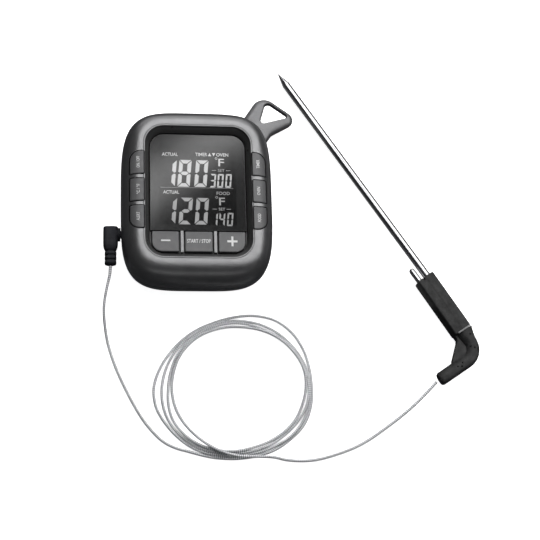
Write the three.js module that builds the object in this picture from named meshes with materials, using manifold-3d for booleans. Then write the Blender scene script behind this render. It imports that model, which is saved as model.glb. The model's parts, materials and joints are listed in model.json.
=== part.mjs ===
// A two-channel meat thermometer: a hand-sized display unit, a steel probe on a
// braided cable, and the right-angle plug that joins them.
// Millimetres, +Z up. The unit lies on its flat back on the plane z = 0, with its
// origin at the centre of that back, +Y towards its top edge and +X to its right.
import * as THREE from 'three';
import { mergeVertices } from 'three/addons/utils/BufferGeometryUtils.js';
import Module from 'manifold-3d';

const wasm = await Module();
wasm.setup();

// ---- driving dimensions -------------------------------------------------------
const CASE = { halfWidth: 37.6, halfHeight: 45.3, power: 4.26, seam: 12, front: 26 };
const CASE_POINTS = 44; // points round each ring of the case
const PROFILE_POWER = 2.44; // roundness of the front shell between seam and rim
const BACK_EDGE = 3.4; // how far the back's edge is rounded in plan
const SEAM_GAP = 0.15; // each shell stops this far from the seam plane
const WALL = 2; // shell thickness
const FIT = 0.35; // clearance round a button cap
const TOUCH = 0.1; // gap between pieces that rest on each other

const RIM = { halfWidth: 25.95, halfHeight: 33.8, radius: 9.2, y: 0.85, lip: 0.35 };
const RECESS = { halfWidth: 24.05, halfHeight: 31.4, radius: 7.5, y: 1, wall: 1.4 };
const RECESS_STEP = 22; // height where the sloping recess wall turns upright
const FLOOR = { bottom: 18.9, top: 20.4 }; // plate that carries lens and lower buttons

const LENS = { halfWidth: 23.75, bottom: -18.85, top: 32, radius: 7.2, low: 20.6, high: 22 };
const PANEL = { halfWidth: 21.5, bottom: -16.5, top: 28.6, low: 17.3, high: 18.7 };
const WINDOW = { halfWidth: 19.6, bottom: -15.2, top: 26.4 };
const BOARD = { halfWidth: 33, halfHeight: 40.6, low: 14.4, high: 15.6 };

const LOWER_ROW = { bottom: -29.6, top: -19.25, low: 17.8, high: 22.5, flange: 0.8, radius: 5 };
const LOWER_RIBS = { inner: 7.35, outer: 8.95, bottom: -30, top: -18.95, high: 22.6 };
const LOWER_BUTTONS = [
  { name: 'minus_button', left: -22.85, right: -9.7 },
  { name: 'start_stop_button', left: -6.75, right: 6.75 },
  { name: 'plus_button', left: 9.7, right: 22.85 },
];
const SIDE_COLUMN = {
  inner: 26.75, outer: 33.5, low: 18.4, proud: 0.5, radius: 5,
  flange: 0.7, flangeShift: 0.6, flangeLow: 18.2, flangeHigh: 19.2,
};
const SIDE_ROWS = [
  { bottom: 9.2, top: 21.2 },
  { bottom: -4.8, top: 6.8 },
  { bottom: -18.8, top: -7.2 },
];
const SIDE_NAMES = {
  left: ['on_off_button', 'units_button', 'alert_button'],
  right: ['timer_button', 'oven_button', 'food_button'],
};
const STEM = { radius: 1.5, low: 17.5 }; // the stem under every button
const SWITCH = { size: 4.4, low: 15.7, high: 16.2, tip: 16.45, tipRadius: 1.1 };

const CELL = { radius: 5.25, length: 43.3, nub: 1.2, nubRadius: 1.9, z: 7.6 };
const CELL_ROWS = [-33.5, -22.2];
const WELL = { halfLength: 24.6, bottom: -39.2, top: -16.4, ceiling: 13.1, wall: 1.2 };
const DOOR = { halfWidth: 25.1, flare: 0.8, top: -15, low: 0.3, high: 1.7 };
const SCREWS = [[-26.5, 33.5], [26.5, 33.5], [-29.4, -29], [29.4, -29]];
const SCREW = {
  headRadius: 2.3, headLow: 0.8, headHigh: 2.1, radius: 1.25, end: 16.5,
  clearance: 0.3, post: 2.6, boardHole: 3.1, boss: 3.5,
};
const SOUND_SLOTS = { left: -19, right: -9, rows: [22.5, 25.5, 28.5], width: 1.1 };
const CHIP = { left: 7, bottom: 14, size: 12, height: 1.6 };
const BUZZER = { x: -14, y: 26, radius: 6.5, height: 4.5 };

const JACK = { y: -16.9, z: 9, inner: -25.7, face: -35.3, nose: -37.2 };
const PLUG = { x: -42.45, radius: 3.55, top: -13.3, taper: -22, neck: -25.4, end: -32.7 };
const PIN = { radius: 1.25, base: -37.9, ring: -31.2, tipStart: -30.4, end: -26.9 };
const CABLE_RADIUS = 0.75;

const EYELET = { low: 3.4, high: 7.4, bevel: 0.85 };

// The probe is built along +X from its tip, then turned and tilted on to the table.
const PROBE = { tip: [44.9, 75.9], heading: -56.9, tilt: 0.98, axisAtTip: 1.98 };
const ROD = { radius: 2.05, bore: 1.6, cone: 7.5, end: 138 };
// lean is how far the grip drifts sideways for each millimetre along it.
const GRIP = {
  start: 132.8, end: 166.0, halfWidth: 2.75, side: -6.9, halfDepth: 4.2, lean: 0.019,
};
const OVEN_SENSOR = { y: -4.95, radius: 1.5, bore: 1.15, tip: 125.2, end: 138 };
const ELBOW = { radius: 3.4, bend: 6.6, centre: 179.6, end: -27 };

// ---- materials ----------------------------------------------------------------
const material = (color, roughness, metalness = 0) =>
  new THREE.MeshStandardMaterial({ color, roughness, metalness, flatShading: true });
const shellGrey = () => material(0x63666a, 0.45, 0.25);
const buttonGrey = () => material(0x4c4f53, 0.5, 0.15);
const blackPlastic = () => material(0x17181a, 0.55);
const blackRubber = () => material(0x26272a, 0.85);
const steel = () => material(0xb9bcc0, 0.22, 1);
const gold = () => material(0xc9a45c, 0.3, 1);
const tin = () => material(0xc2c5c8, 0.35, 1);

// ---- geometry helpers -----------------------------------------------------------
// Merges shared corners and makes every face point outwards.
function closed(geometry) {
  geometry.deleteAttribute('normal');
  geometry.deleteAttribute('uv');
  const merged = mergeVertices(geometry, 1e-4);
  const position = merged.attributes.position;
  const index = merged.index.array;
  const corner = [new THREE.Vector3(), new THREE.Vector3(), new THREE.Vector3()];
  const kept = [];
  let volume = 0;
  for (let i = 0; i < index.length; i += 3) {
    const [a, b, c] = [index[i], index[i + 1], index[i + 2]];
    if (a === b || b === c || c === a) continue;
    [a, b, c].forEach((vertex, k) => corner[k].fromBufferAttribute(position, vertex));
    volume += corner[0].dot(corner[1].cross(corner[2]));
    kept.push(a, b, c);
  }
  if (volume < 0) kept.reverse();
  merged.setIndex(kept);
  return merged;
}

// A closed geometry as a solid that can be cut and joined.
function solid(geometry) {
  const merged = closed(geometry);
  return new wasm.Manifold(new wasm.Mesh({
    numProp: 3,
    vertProperties: new Float32Array(merged.attributes.position.array),
    triVerts: new Uint32Array(merged.index.array),
  }));
}

function geometryOf(shape) {
  if (shape instanceof THREE.BufferGeometry) return closed(shape);
  const mesh = shape.getMesh();
  const geometry = new THREE.BufferGeometry();
  geometry.setAttribute('position', new THREE.BufferAttribute(mesh.vertProperties, 3));
  geometry.setIndex(new THREE.BufferAttribute(mesh.triVerts, 1));
  return geometry;
}

function addPiece(parent, name, shape, look) {
  const mesh = new THREE.Mesh(geometryOf(shape), look);
  mesh.name = name;
  parent.add(mesh);
}

// A polygon with a radius at each corner; a radius of 0 leaves the corner sharp.
function roundedOutline(corners, radii) {
  const shape = new THREE.Shape();
  corners.forEach(([x, y], i) => {
    const here = new THREE.Vector2(x, y);
    const [before, after] = [-1, 1].map((step) => {
      const [px, py] = corners[(i + step + corners.length) % corners.length];
      return new THREE.Vector2(px, py).sub(here).normalize();
    });
    const radius = Array.isArray(radii) ? radii[i] : radii;
    const halfAngle = before.angleTo(after) / 2;
    const reach = radius / Math.tan(halfAngle);
    const enter = here.clone().addScaledVector(before, reach);
    if (i === 0) shape.moveTo(enter.x, enter.y);
    else shape.lineTo(enter.x, enter.y);
    if (radius > 0) {
      const leave = here.clone().addScaledVector(after, reach);
      const inward = before.clone().add(after).normalize();
      const centre = here.clone().addScaledVector(inward, radius / Math.sin(halfAngle));
      const from = Math.atan2(enter.y - centre.y, enter.x - centre.x);
      const to = Math.atan2(leave.y - centre.y, leave.x - centre.x);
      shape.absarc(centre.x, centre.y, radius, from, to, before.cross(after) > 0);
    }
  });
  shape.closePath();
  return shape;
}

const rectangle = (left, bottom, right, top, radii = 0) =>
  roundedOutline([[left, bottom], [right, bottom], [right, top], [left, top]], radii);

function prism(outline, low, high, curveSegments = 4) {
  const geometry = new THREE.ExtrudeGeometry(outline, {
    depth: high - low, bevelEnabled: false, curveSegments,
  });
  return geometry.translate(0, 0, low);
}

// A prism whose top and bottom edges are chamfered.
function softPrism(outline, low, high, bevel, curveSegments = 4) {
  const geometry = new THREE.ExtrudeGeometry(outline, {
    depth: high - low - 2 * bevel, bevelThickness: bevel, bevelSize: bevel,
    bevelOffset: -bevel, bevelSegments: 1, curveSegments,
  });
  return geometry.translate(0, 0, low + bevel);
}

const box = (left, bottom, low, right, top, high) =>
  new THREE.BoxGeometry(right - left, top - bottom, high - low)
    .translate((left + right) / 2, (bottom + top) / 2, (low + high) / 2);

// Turned shapes: each profile point is [radius, distance along the axis].
function turned(profile, sides, axis = 'z') {
  const points = profile.map(([radius, along]) => new THREE.Vector2(radius, along));
  const geometry = new THREE.LatheGeometry(points, sides);
  if (axis === 'z') geometry.rotateX(Math.PI / 2);
  if (axis === 'x') geometry.rotateZ(-Math.PI / 2);
  return geometry;
}

const rod = (radius, from, to, sides = 16, axis = 'z') =>
  turned([[0, from], [radius, from], [radius, to], [0, to]], sides, axis);

// A closed skin over rings that have the same number of points.
function loft(rings) {
  const count = rings[0].length;
  const corners = rings.flat();
  const ends = [rings[0], rings.at(-1)].map((ring) =>
    ring.reduce((sum, point) => sum.add(point), new THREE.Vector3()).divideScalar(count));
  const index = [];
  for (let r = 0; r + 1 < rings.length; r++) {
    for (let i = 0; i < count; i++) {
      const [a, b] = [r * count + i, r * count + (i + 1) % count];
      index.push(a, b, b + count, a, b + count, a + count);
    }
  }
  const last = (rings.length - 1) * count;
  for (let i = 0; i < count; i++) {
    const next = (i + 1) % count;
    index.push(corners.length, next, i);
    index.push(corners.length + 1, last + i, last + next);
  }
  const geometry = new THREE.BufferGeometry().setFromPoints([...corners, ...ends]);
  geometry.setIndex(index);
  return geometry;
}

function tube(points, radius, steps, sides) {
  const section = new THREE.Shape();
  section.absarc(0, 0, radius, 0, 2 * Math.PI);
  const path = new THREE.CatmullRomCurve3(points.map((p) => new THREE.Vector3(...p)));
  return new THREE.ExtrudeGeometry(section, {
    steps, extrudePath: path, curveSegments: sides / 2, bevelEnabled: false,
  });
}

// ---- case outline -----------------------------------------------------------------
// The case's plan is a superellipse; each of its points has one on the display rim,
// seen from the centre in the same direction.
const caseAngles = Array.from({ length: CASE_POINTS }, (_, i) => 2 * Math.PI * i / CASE_POINTS);

function casePoint(angle, inset = 0) {
  const bend = (value) => Math.sign(value) * Math.abs(value) ** (2 / CASE.power);
  return new THREE.Vector2(
    (CASE.halfWidth - inset) * bend(Math.cos(angle)),
    (CASE.halfHeight - inset) * bend(Math.sin(angle)),
  );
}

function rectanglePoint(direction, { halfWidth, halfHeight, radius, y }) {
  const c = Math.abs(Math.cos(direction));
  const s = Math.abs(Math.sin(direction));
  let reach = Math.min(halfWidth / Math.max(c, 1e-9), halfHeight / Math.max(s, 1e-9));
  const [cx, cy] = [halfWidth - radius, halfHeight - radius];
  if (c * reach > cx && s * reach > cy) {
    const along = c * cx + s * cy;
    reach = along + Math.sqrt(Math.max(along ** 2 - cx ** 2 - cy ** 2 + radius ** 2, 0));
  }
  return new THREE.Vector2(reach * Math.cos(direction), y + reach * Math.sin(direction));
}

function frontBody({ inset = 0, raise = 0, low = CASE.seam + SEAM_GAP, steps = 6 }) {
  const top = CASE.front - inset + raise;
  const rim = { ...RIM, halfWidth: RIM.halfWidth + RIM.lip, halfHeight: RIM.halfHeight + RIM.lip };
  const rings = [caseAngles.map((angle) => {
    const edge = casePoint(angle, inset - raise);
    return new THREE.Vector3(edge.x, edge.y, low);
  })];
  for (let step = 0; step <= steps; step++) {
    const turn = step / steps * Math.PI / 2;
    const out = Math.cos(turn) ** (2 / PROFILE_POWER);
    const up = Math.sin(turn) ** (2 / PROFILE_POWER);
    const z = Math.max(CASE.seam + (top - CASE.seam) * up, low + 0.3);
    rings.push(caseAngles.map((angle) => {
      const edge = casePoint(angle, inset - raise);
      const inner = rectanglePoint(edge.angle(), rim);
      const here = inner.clone().lerp(edge, step === steps ? 0 : out);
      return new THREE.Vector3(here.x, here.y, z);
    }));
  }
  return loft(rings);
}

function rearBody({ inset = 0, low = 0, high = CASE.seam - SEAM_GAP, steps = 4 }) {
  const rings = [];
  for (let step = 0; step <= steps; step++) {
    const turn = (1 - step / steps) * Math.PI / 2;
    const scale = 1 - BACK_EDGE / CASE.halfWidth * (1 - Math.cos(turn));
    const z = low + (high - low) * (1 - Math.sin(turn));
    rings.push(caseAngles.map((angle) => {
      const edge = casePoint(angle, inset).multiplyScalar(scale);
      return new THREE.Vector3(edge.x, edge.y, z);
    }));
  }
  return loft(rings);
}

const rectangleRing = (size, z) => caseAngles.map((angle) => {
  const point = rectanglePoint(casePoint(angle).angle(), size);
  return new THREE.Vector3(point.x, point.y, z);
});

// ---- display unit: outlines of the buttons ---------------------------------------
const grow = (by, { left, bottom, right, top }) =>
  ({ left: left - by, bottom: bottom - by, right: right + by, top: top + by });

function lowerButtonOutline(button, growth) {
  const size = grow(growth, { ...LOWER_ROW, left: button.left, right: button.right });
  const outer = LOWER_ROW.radius + growth;
  const radii = [0, 0, 0, 0];
  if (button.left === LOWER_BUTTONS[0].left) radii[0] = outer;
  if (button.right === LOWER_BUTTONS[2].right) radii[1] = outer;
  return rectangle(size.left, size.bottom, size.right, size.top, radii);
}

// side is 1 for the right column and -1 for the left one, which mirrors it.
function sideButtonOutline(row, side, growth) {
  const x = [SIDE_COLUMN.inner - growth, SIDE_COLUMN.outer + growth].map((value) => side * value);
  const { bottom, top } = SIDE_ROWS[row];
  const outer = SIDE_COLUMN.radius + growth;
  const corners = [
    [x[0], bottom - growth], [x[1], bottom - growth], [x[1], top + growth], [x[0], top + growth],
  ];
  return roundedOutline(corners, [0, row === 2 ? outer : 0, row === 0 ? outer : 0, 0]);
}

// ---- display unit: shells -----------------------------------------------------------
function makeFrontShell() {
  const outer = solid(frontBody({}));
  const hollow = solid(frontBody({ inset: WALL, low: CASE.seam - 1, steps: 4 }));
  const tubSize = {
    ...RECESS,
    halfWidth: RECESS.halfWidth + RECESS.wall,
    halfHeight: RECESS.halfHeight + RECESS.wall,
    radius: RECESS.radius + RECESS.wall,
  };
  const tub = loft([rectangleRing(tubSize, FLOOR.bottom), rectangleRing(tubSize, CASE.front - 1)]);
  const rimTop = { ...RIM, halfWidth: RIM.halfWidth + 0.2, halfHeight: RIM.halfHeight + 0.2 };
  const recess = loft([
    rectangleRing(RECESS, FLOOR.top),
    rectangleRing(RECESS, RECESS_STEP),
    rectangleRing(rimTop, CASE.front + 0.4),
  ]);
  let shell = outer.subtract(hollow).add(solid(tub).intersect(outer));
  for (const [x, y] of SCREWS) {
    const post = rod(SCREW.post, CASE.seam + SEAM_GAP, CASE.front, 10).translate(x, y, 0);
    shell = shell.add(solid(post).intersect(outer));
  }
  shell = shell.subtract(solid(recess));
  for (const side of [-1, 1]) {
    const [left, right] = [LOWER_RIBS.inner, LOWER_RIBS.outer].map((x) => side * x)
      .sort((a, b) => a - b);
    shell = shell.add(solid(box(left, LOWER_RIBS.bottom, FLOOR.bottom,
      right, LOWER_RIBS.top, LOWER_RIBS.high)));
  }
  const openings = [
    box(-WINDOW.halfWidth, WINDOW.bottom, FLOOR.bottom - 1,
      WINDOW.halfWidth, WINDOW.top, FLOOR.top + 1),
    ...LOWER_BUTTONS.map((button) =>
      prism(lowerButtonOutline(button, FIT), FLOOR.bottom - 1, FLOOR.top + 1)),
    ...[-1, 1].flatMap((side) => SIDE_ROWS.map((_, row) =>
      prism(sideButtonOutline(row, side, FIT), FLOOR.bottom, CASE.front + 1))),
    ...SCREWS.map(([x, y]) =>
      rod(SCREW.radius + SCREW.clearance, 0, SCREW.end + 0.5, 10).translate(x, y, 0)),
  ];
  return openings.reduce((body, opening) => body.subtract(solid(opening)), shell);
}

const eyeletOutline = () => {
  const shape = roundedOutline(
    [[18.8, 37.6], [33, 29], [39.7, 39], [55, 47.5], [34.7, 62.1]], [0, 0, 5, 4.5, 7]);
  shape.holes.push(roundedOutline([[33.7, 45.1], [37.4, 57.7], [49.1, 49.3]], [1.5, 2.2, 1.1]));
  return shape;
};

// The sliding door is a flat dovetail, wider on its inner face.
function dovetail(clearance, top, bottom, low, high) {
  const half = DOOR.halfWidth + clearance;
  const rise = DOOR.flare / (DOOR.high - DOOR.low);
  const widthAt = (z) => half + rise * (z - DOOR.low);
  const section = new THREE.Shape();
  section.moveTo(-widthAt(low), low).lineTo(widthAt(low), low);
  section.lineTo(widthAt(high), high).lineTo(-widthAt(high), high).closePath();
  return new THREE.ExtrudeGeometry(section, { depth: top - bottom, bevelEnabled: false })
    .rotateX(Math.PI / 2).translate(0, top, 0);
}

function makeRearShell() {
  const outer = solid(rearBody({}));
  const hollow = solid(rearBody({ inset: WALL, low: WALL, high: CASE.seam + 1, steps: 3 }));
  const loop = softPrism(eyeletOutline(), EYELET.low, EYELET.high, EYELET.bevel);
  const wellEnd = WELL.halfLength + WELL.wall;
  const wellOutline = rectangle(-wellEnd, WELL.bottom - WELL.wall, wellEnd, WELL.top + WELL.wall, 3);
  const well = prism(wellOutline, 1, WELL.ceiling + 0.9, 3);
  const seat = box(-WELL.halfLength - 3, -CASE.halfHeight, 1, WELL.halfLength + 3, WELL.top + 3, 3.4);
  let shell = outer.add(solid(loop)).subtract(hollow);
  shell = shell.add(solid(seat).intersect(outer)).add(solid(well));
  for (const [x, y] of SCREWS) {
    const boss = rod(SCREW.boss, 1, CASE.seam - SEAM_GAP, 12).translate(x, y, 0);
    shell = shell.add(solid(boss).intersect(outer));
  }
  const soundSlots = SOUND_SLOTS.rows.map((y) =>
    box(SOUND_SLOTS.left, y, -1, SOUND_SLOTS.right, y + SOUND_SLOTS.width, WALL + 1));
  const openings = [
    box(-WELL.halfLength, WELL.bottom, -1, WELL.halfLength, WELL.top, WELL.ceiling),
    dovetail(0.3, DOOR.top + 0.3, -CASE.halfHeight - 5, -1, DOOR.high + 0.2),
    rod(2.4, JACK.nose - 2, JACK.face, 16, 'x').translate(0, JACK.y, JACK.z),
    box(JACK.face - 0.2, JACK.y - 3.5, JACK.z - 3.4, JACK.inner, JACK.y + 3.5, CASE.seam + 1),
    ...SCREWS.map(([x, y]) => rod(SCREW.headRadius + 0.4, -1, 2.4, 12).translate(x, y, 0)),
    ...SCREWS.map(([x, y]) =>
      rod(SCREW.radius + SCREW.clearance, 0, CASE.seam + 1, 10).translate(x, y, 0)),
    ...soundSlots,
  ];
  return openings.reduce((body, opening) => body.subtract(solid(opening)), shell);
}

function makeBatteryDoor() {
  const plate = solid(dovetail(0, DOOR.top, -CASE.halfHeight, DOOR.low, DOOR.high));
  const thumbGrip = [0, 1, 2].map((step) =>
    box(-5, -24 - 2 * step, DOOR.low - 1, 5, -23 - 2 * step, DOOR.low + 0.4));
  return thumbGrip.reduce((door, groove) => door.subtract(solid(groove)),
    plate.intersect(solid(rearBody({}))));
}

// ---- display unit: buttons and switches ---------------------------------------------
function makeLowerButton(button) {
  const centre = (button.left + button.right) / 2;
  const middle = (LOWER_ROW.bottom + LOWER_ROW.top) / 2;
  const { low, high, flange: border } = LOWER_ROW;
  const cap = softPrism(lowerButtonOutline(button, 0), low, high, 0.3, 3);
  const flange = prism(lowerButtonOutline(button, border), low, FLOOR.bottom - 0.2, 2);
  const stem = rod(STEM.radius, STEM.low, low + 0.2, 8).translate(centre, middle, 0);
  return solid(cap).add(solid(flange)).add(solid(stem));
}

function makeSideButton(row, side) {
  const { bottom, top } = SIDE_ROWS[row];
  const raised = solid(frontBody({ raise: SIDE_COLUMN.proud }));
  const { inner, outer, low, flange: border, flangeShift, flangeLow, flangeHigh } = SIDE_COLUMN;
  const cap = solid(prism(sideButtonOutline(row, side, 0), low, CASE.front + 2)).intersect(raised);
  // The flange sits nearer the middle, clear of the shell's outer wall.
  const [near, far] = [inner - flangeShift, outer - flangeShift].map((x) => side * x);
  const flange = box(Math.min(near, far), bottom - border, flangeLow,
    Math.max(near, far), top + border, flangeHigh);
  const stemX = side * (inner + outer) / 2;
  const stem = rod(STEM.radius, STEM.low, low, 8).translate(stemX, (bottom + top) / 2, 0);
  return cap.add(solid(flange)).add(solid(stem));
}

function makeSwitch(x, y) {
  const half = SWITCH.size / 2;
  const body = box(x - half, y - half, SWITCH.low, x + half, y + half, SWITCH.high);
  const tip = rod(SWITCH.tipRadius, SWITCH.low + 0.1, SWITCH.tip, 8).translate(x, y, 0);
  return solid(body).add(solid(tip));
}

function addButtons(unit) {
  const middle = (LOWER_ROW.bottom + LOWER_ROW.top) / 2;
  for (const button of LOWER_BUTTONS) {
    addPiece(unit, button.name, makeLowerButton(button), buttonGrey());
    const switchName = button.name.replace('button', 'switch');
    const centre = (button.left + button.right) / 2;
    addPiece(unit, switchName, makeSwitch(centre, middle), blackPlastic());
  }
  for (const [sideName, side] of [['left', -1], ['right', 1]]) {
    SIDE_NAMES[sideName].forEach((name, row) => {
      const x = side * (SIDE_COLUMN.inner + SIDE_COLUMN.outer) / 2;
      const y = (SIDE_ROWS[row].bottom + SIDE_ROWS[row].top) / 2;
      addPiece(unit, name, makeSideButton(row, side), buttonGrey());
      addPiece(unit, name.replace('button', 'switch'), makeSwitch(x, y), blackPlastic());
    });
  }
}

// ---- display unit: display stack and electronics ------------------------------------
function makeFrame(inner, border, low, high) {
  const outline = rectangle(-inner.halfWidth - border, inner.bottom - border,
    inner.halfWidth + border, inner.top + border);
  outline.holes.push(rectangle(-inner.halfWidth, inner.bottom, inner.halfWidth, inner.top));
  return prism(outline, low, high);
}

function addDisplay(unit) {
  const lens = rectangle(-LENS.halfWidth, LENS.bottom, LENS.halfWidth, LENS.top,
    [0, 0, LENS.radius, LENS.radius]);
  addPiece(unit, 'display_lens', prism(lens, LENS.low, LENS.high), material(0x08090a, 0.06));
  const { halfWidth, bottom, top, low, high } = PANEL;
  addPiece(unit, 'lcd_panel', box(-halfWidth, bottom, low, halfWidth, top, high),
    material(0x1b1d20, 0.2));
  const opening = { halfWidth: halfWidth + 0.25, bottom: bottom - 0.25, top: top + 0.25 };
  addPiece(unit, 'lcd_holder', makeFrame(opening, 1.1, BOARD.high + TOUCH, high), blackPlastic());
  addPiece(unit, 'backlight_diffuser', box(-19.5, -13.9, 16, 19.5, 25.8, low - TOUCH),
    material(0xf2f2ee, 0.5));
  for (const [name, from] of [['zebra_strip_upper', top - 2.4], ['zebra_strip_lower', bottom + 0.4]]) {
    addPiece(unit, name, box(-20, from, BOARD.high + TOUCH, 20, from + 2, low - TOUCH),
      material(0x8a8f94, 0.8));
  }
}

function makeBoard() {
  const { halfWidth, halfHeight, low, high } = BOARD;
  const outline = new THREE.Shape(caseAngles.filter((_, i) => i % 2 === 0).map((angle) => {
    const point = casePoint(angle);
    return point.multiply(new THREE.Vector2(halfWidth / CASE.halfWidth, halfHeight / CASE.halfHeight));
  }));
  return SCREWS.reduce((board, [x, y]) =>
    board.subtract(solid(rod(SCREW.boardHole, low - 1, high + 1, 8).translate(x, y, 0))),
  solid(prism(outline, low, high)));
}

function addElectronics(unit) {
  const under = BOARD.low - TOUCH;
  addPiece(unit, 'main_board', makeBoard(), material(0x1d5c36, 0.5));
  addPiece(unit, 'processor_chip', box(CHIP.left, CHIP.bottom, under - CHIP.height,
    CHIP.left + CHIP.size, CHIP.bottom + CHIP.size, under), blackPlastic());
  addPiece(unit, 'buzzer', rod(BUZZER.radius, under - BUZZER.height, under, 20)
    .translate(BUZZER.x, BUZZER.y, 0), blackPlastic());
  const jack = solid(box(JACK.face, JACK.y - 3.1, JACK.z - 3, JACK.inner, JACK.y + 3.1, JACK.z + 3.2))
    .add(solid(rod(2, JACK.nose, JACK.face + 1, 14, 'x').translate(0, JACK.y, JACK.z)))
    .subtract(solid(rod(1.6, JACK.nose - 1, PIN.end + 0.4, 12, 'x').translate(0, JACK.y, JACK.z)));
  addPiece(unit, 'jack_socket', jack, blackPlastic());
}

// ---- display unit: batteries, contacts and screws -------------------------------------
function makeContactSpring(from, to, wide, narrow) {
  const turns = 2;
  const pointCount = 20;
  const points = Array.from({ length: pointCount }, (_, i) => {
    const part = i / (pointCount - 1);
    const radius = wide + (narrow - wide) * part;
    const angle = 2 * Math.PI * turns * part;
    return [from + (to - from) * part, radius * Math.cos(angle), radius * Math.sin(angle)];
  });
  return tube(points, 0.28, 20, 6);
}

function addBatteries(unit) {
  const { radius, length, nub, nubRadius, z } = CELL;
  const reach = WELL.halfLength - 0.7; // the end of a cell's nub
  const plateFace = WELL.halfLength - TOUCH;
  CELL_ROWS.forEach((y, i) => {
    const side = i === 0 ? 1 : -1; // the end where the nub is
    const profile = [
      [0, reach - nub - length], [radius - 0.4, reach - nub - length],
      [radius, reach - nub - length + 0.4], [radius, reach - nub - 0.4],
      [radius - 0.4, reach - nub], [nubRadius, reach - nub], [nubRadius, reach], [0, reach],
    ];
    const cell = turned(profile, 18, 'x').scale(side, 1, 1).translate(0, y, z);
    addPiece(unit, `battery_${i + 1}`, cell, material(0x2f6e4d, 0.35, 0.3));
    const [springStart, springEnd] = [plateFace - 0.85, length + nub - reach + 0.4]
      .map((distance) => -side * distance);
    const spring = makeContactSpring(springStart, springEnd, 3.4, 2).translate(0, y, z);
    addPiece(unit, `battery_spring_${i + 1}`, spring, tin());
    const plate = box(side * plateFace - (side > 0 ? 0.4 : 0), y - 4.2, z - 4,
      side * plateFace + (side > 0 ? 0 : 0.4), y + 4.2, z + 4);
    addPiece(unit, `battery_plus_plate_${i + 1}`, plate, tin());
    const minusPlate = box(-side * plateFace - (side > 0 ? 0 : 0.4), y - 4.2, z - 4,
      -side * plateFace + (side > 0 ? 0.4 : 0), y + 4.2, z + 4);
    addPiece(unit, `battery_minus_plate_${i + 1}`, minusPlate, tin());
  });
}

function addScrews(unit) {
  const { headRadius, headLow, headHigh, radius, end } = SCREW;
  SCREWS.forEach(([x, y], i) => {
    const profile = [
      [0, headLow], [headRadius - 0.5, headLow], [headRadius, headLow + 0.5],
      [headRadius, headHigh], [radius, headHigh], [radius, end - 1], [0.2, end], [0, end],
    ];
    addPiece(unit, `case_screw_${i + 1}`, turned(profile, 10).translate(x, y, 0), steel());
  });
}

// ---- plug -------------------------------------------------------------------------
function makePlugBody() {
  const { x, radius, top, taper, neck, end } = PLUG;
  const rings = [0, 1, 2].flatMap((ring) => {
    const start = neck - 0.6 - ring * 2.4;
    return [[2.1, start - 0.6], [2.85, start - 0.9], [2.85, start - 2.2]];
  });
  const profile = [
    [0, top], [radius - 0.8, top], [radius, top - 0.8], [radius, taper], [2.7, neck],
    [2.7, neck - 0.5], ...rings, [1.6, end], [0, end],
  ];
  const stalk = turned(profile, 14, 'y').translate(x, 0, JACK.z);
  const collar = rod(3.4, x, PIN.base, 16, 'x').translate(0, JACK.y, JACK.z);
  const entry = rod(CABLE_RADIUS + 0.3, end - 1, end + 2, 8, 'y').translate(x, 0, JACK.z);
  return solid(stalk).add(solid(collar)).subtract(solid(entry));
}

function addPlug(group) {
  const { radius, base, ring, tipStart, end } = PIN;
  const onAxis = (profile) => turned(profile, 16, 'x').translate(0, JACK.y, JACK.z);
  addPiece(group, 'plug_body', makePlugBody(), blackRubber());
  addPiece(group, 'plug_sleeve', onAxis([[0, base + TOUCH], [radius, base + TOUCH],
    [radius, ring], [0, ring]]), gold());
  addPiece(group, 'plug_insulator', onAxis([[0, ring + TOUCH], [radius, ring + TOUCH],
    [radius, tipStart - TOUCH], [0, tipStart - TOUCH]]), blackPlastic());
  addPiece(group, 'plug_tip', onAxis([[0, tipStart], [radius, tipStart], [radius, end - 2.2],
    [radius - 0.35, end - 1.7], [radius, end - 1.1], [0.4, end], [0, end]]), gold());
}

// ---- cable --------------------------------------------------------------------------
// From the plug the cable drops to the table and runs to a loose coil of four turns,
// then on from the coil to the end of the probe's handle.
const LEAD_ROUTE = [
  [-42.45, -33, 9], [-42.8, -37.5, 8.2], [-44.4, -45, 5.2], [-45.5, -53.7, 2.5],
  [-44.3, -65.9, 0.95], [-40.9, -78.4, 0.8], [-36.5, -89.3, 0.8], [-27.9, -105.7, 0.8],
  [-22.2, -113.4, 0.8], [-16.5, -118.8, 0.8], [-10.6, -121.8, 0.8], [-5.6, -123.2, 0.8],
];
const TAIL_ROUTE = [
  [36.6, -126.7, 0.8], [42.5, -127.9, 0.8], [48.5, -128.4, 0.8], [55.5, -128.2, 0.8],
  [64.1, -126.4, 0.8], [79.2, -120.9, 0.8], [94.6, -111.2, 1.3], [107.5, -101.3, 3],
  [118.6, -90.5, 4.9],
];
// The coil is one ring that holds four loose turns. Each row is 15 degrees further round
// it: inner edge, outer edge and height. The ring is flattened a little along Y.
const COIL = { x: 18.4, y: -92.4, flatten: 0.93, low: 0.05, chamfer: 0.6 };
const COIL_ROWS = [
  [33.5, 39.3, 4.9], [34.2, 40.4, 5.0], [34.1, 42.1, 4.8], [33.8, 43.4, 4.0],
  [33.1, 43.5, 3.3], [32.5, 42.8, 2.6], [32.0, 40.6, 3.2], [31.7, 38.6, 3.9],
  [31.5, 37.5, 4.0], [31.1, 37.6, 4.0], [30.6, 38.5, 3.7], [30.1, 40.1, 2.8],
  [30.0, 40.9, 2.0], [30.0, 41.0, 1.7], [30.2, 40.5, 3.4], [30.7, 39.5, 5.1],
  [31.7, 39.9, 6.0], [33.1, 39.2, 6.1], [32.5, 38.5, 4.7], [32.0, 39.3, 4.3],
  [32.0, 39.0, 3.5], [32.2, 39.5, 2.9], [32.7, 39.9, 3.4], [33.2, 39.8, 4.3],
];

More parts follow.
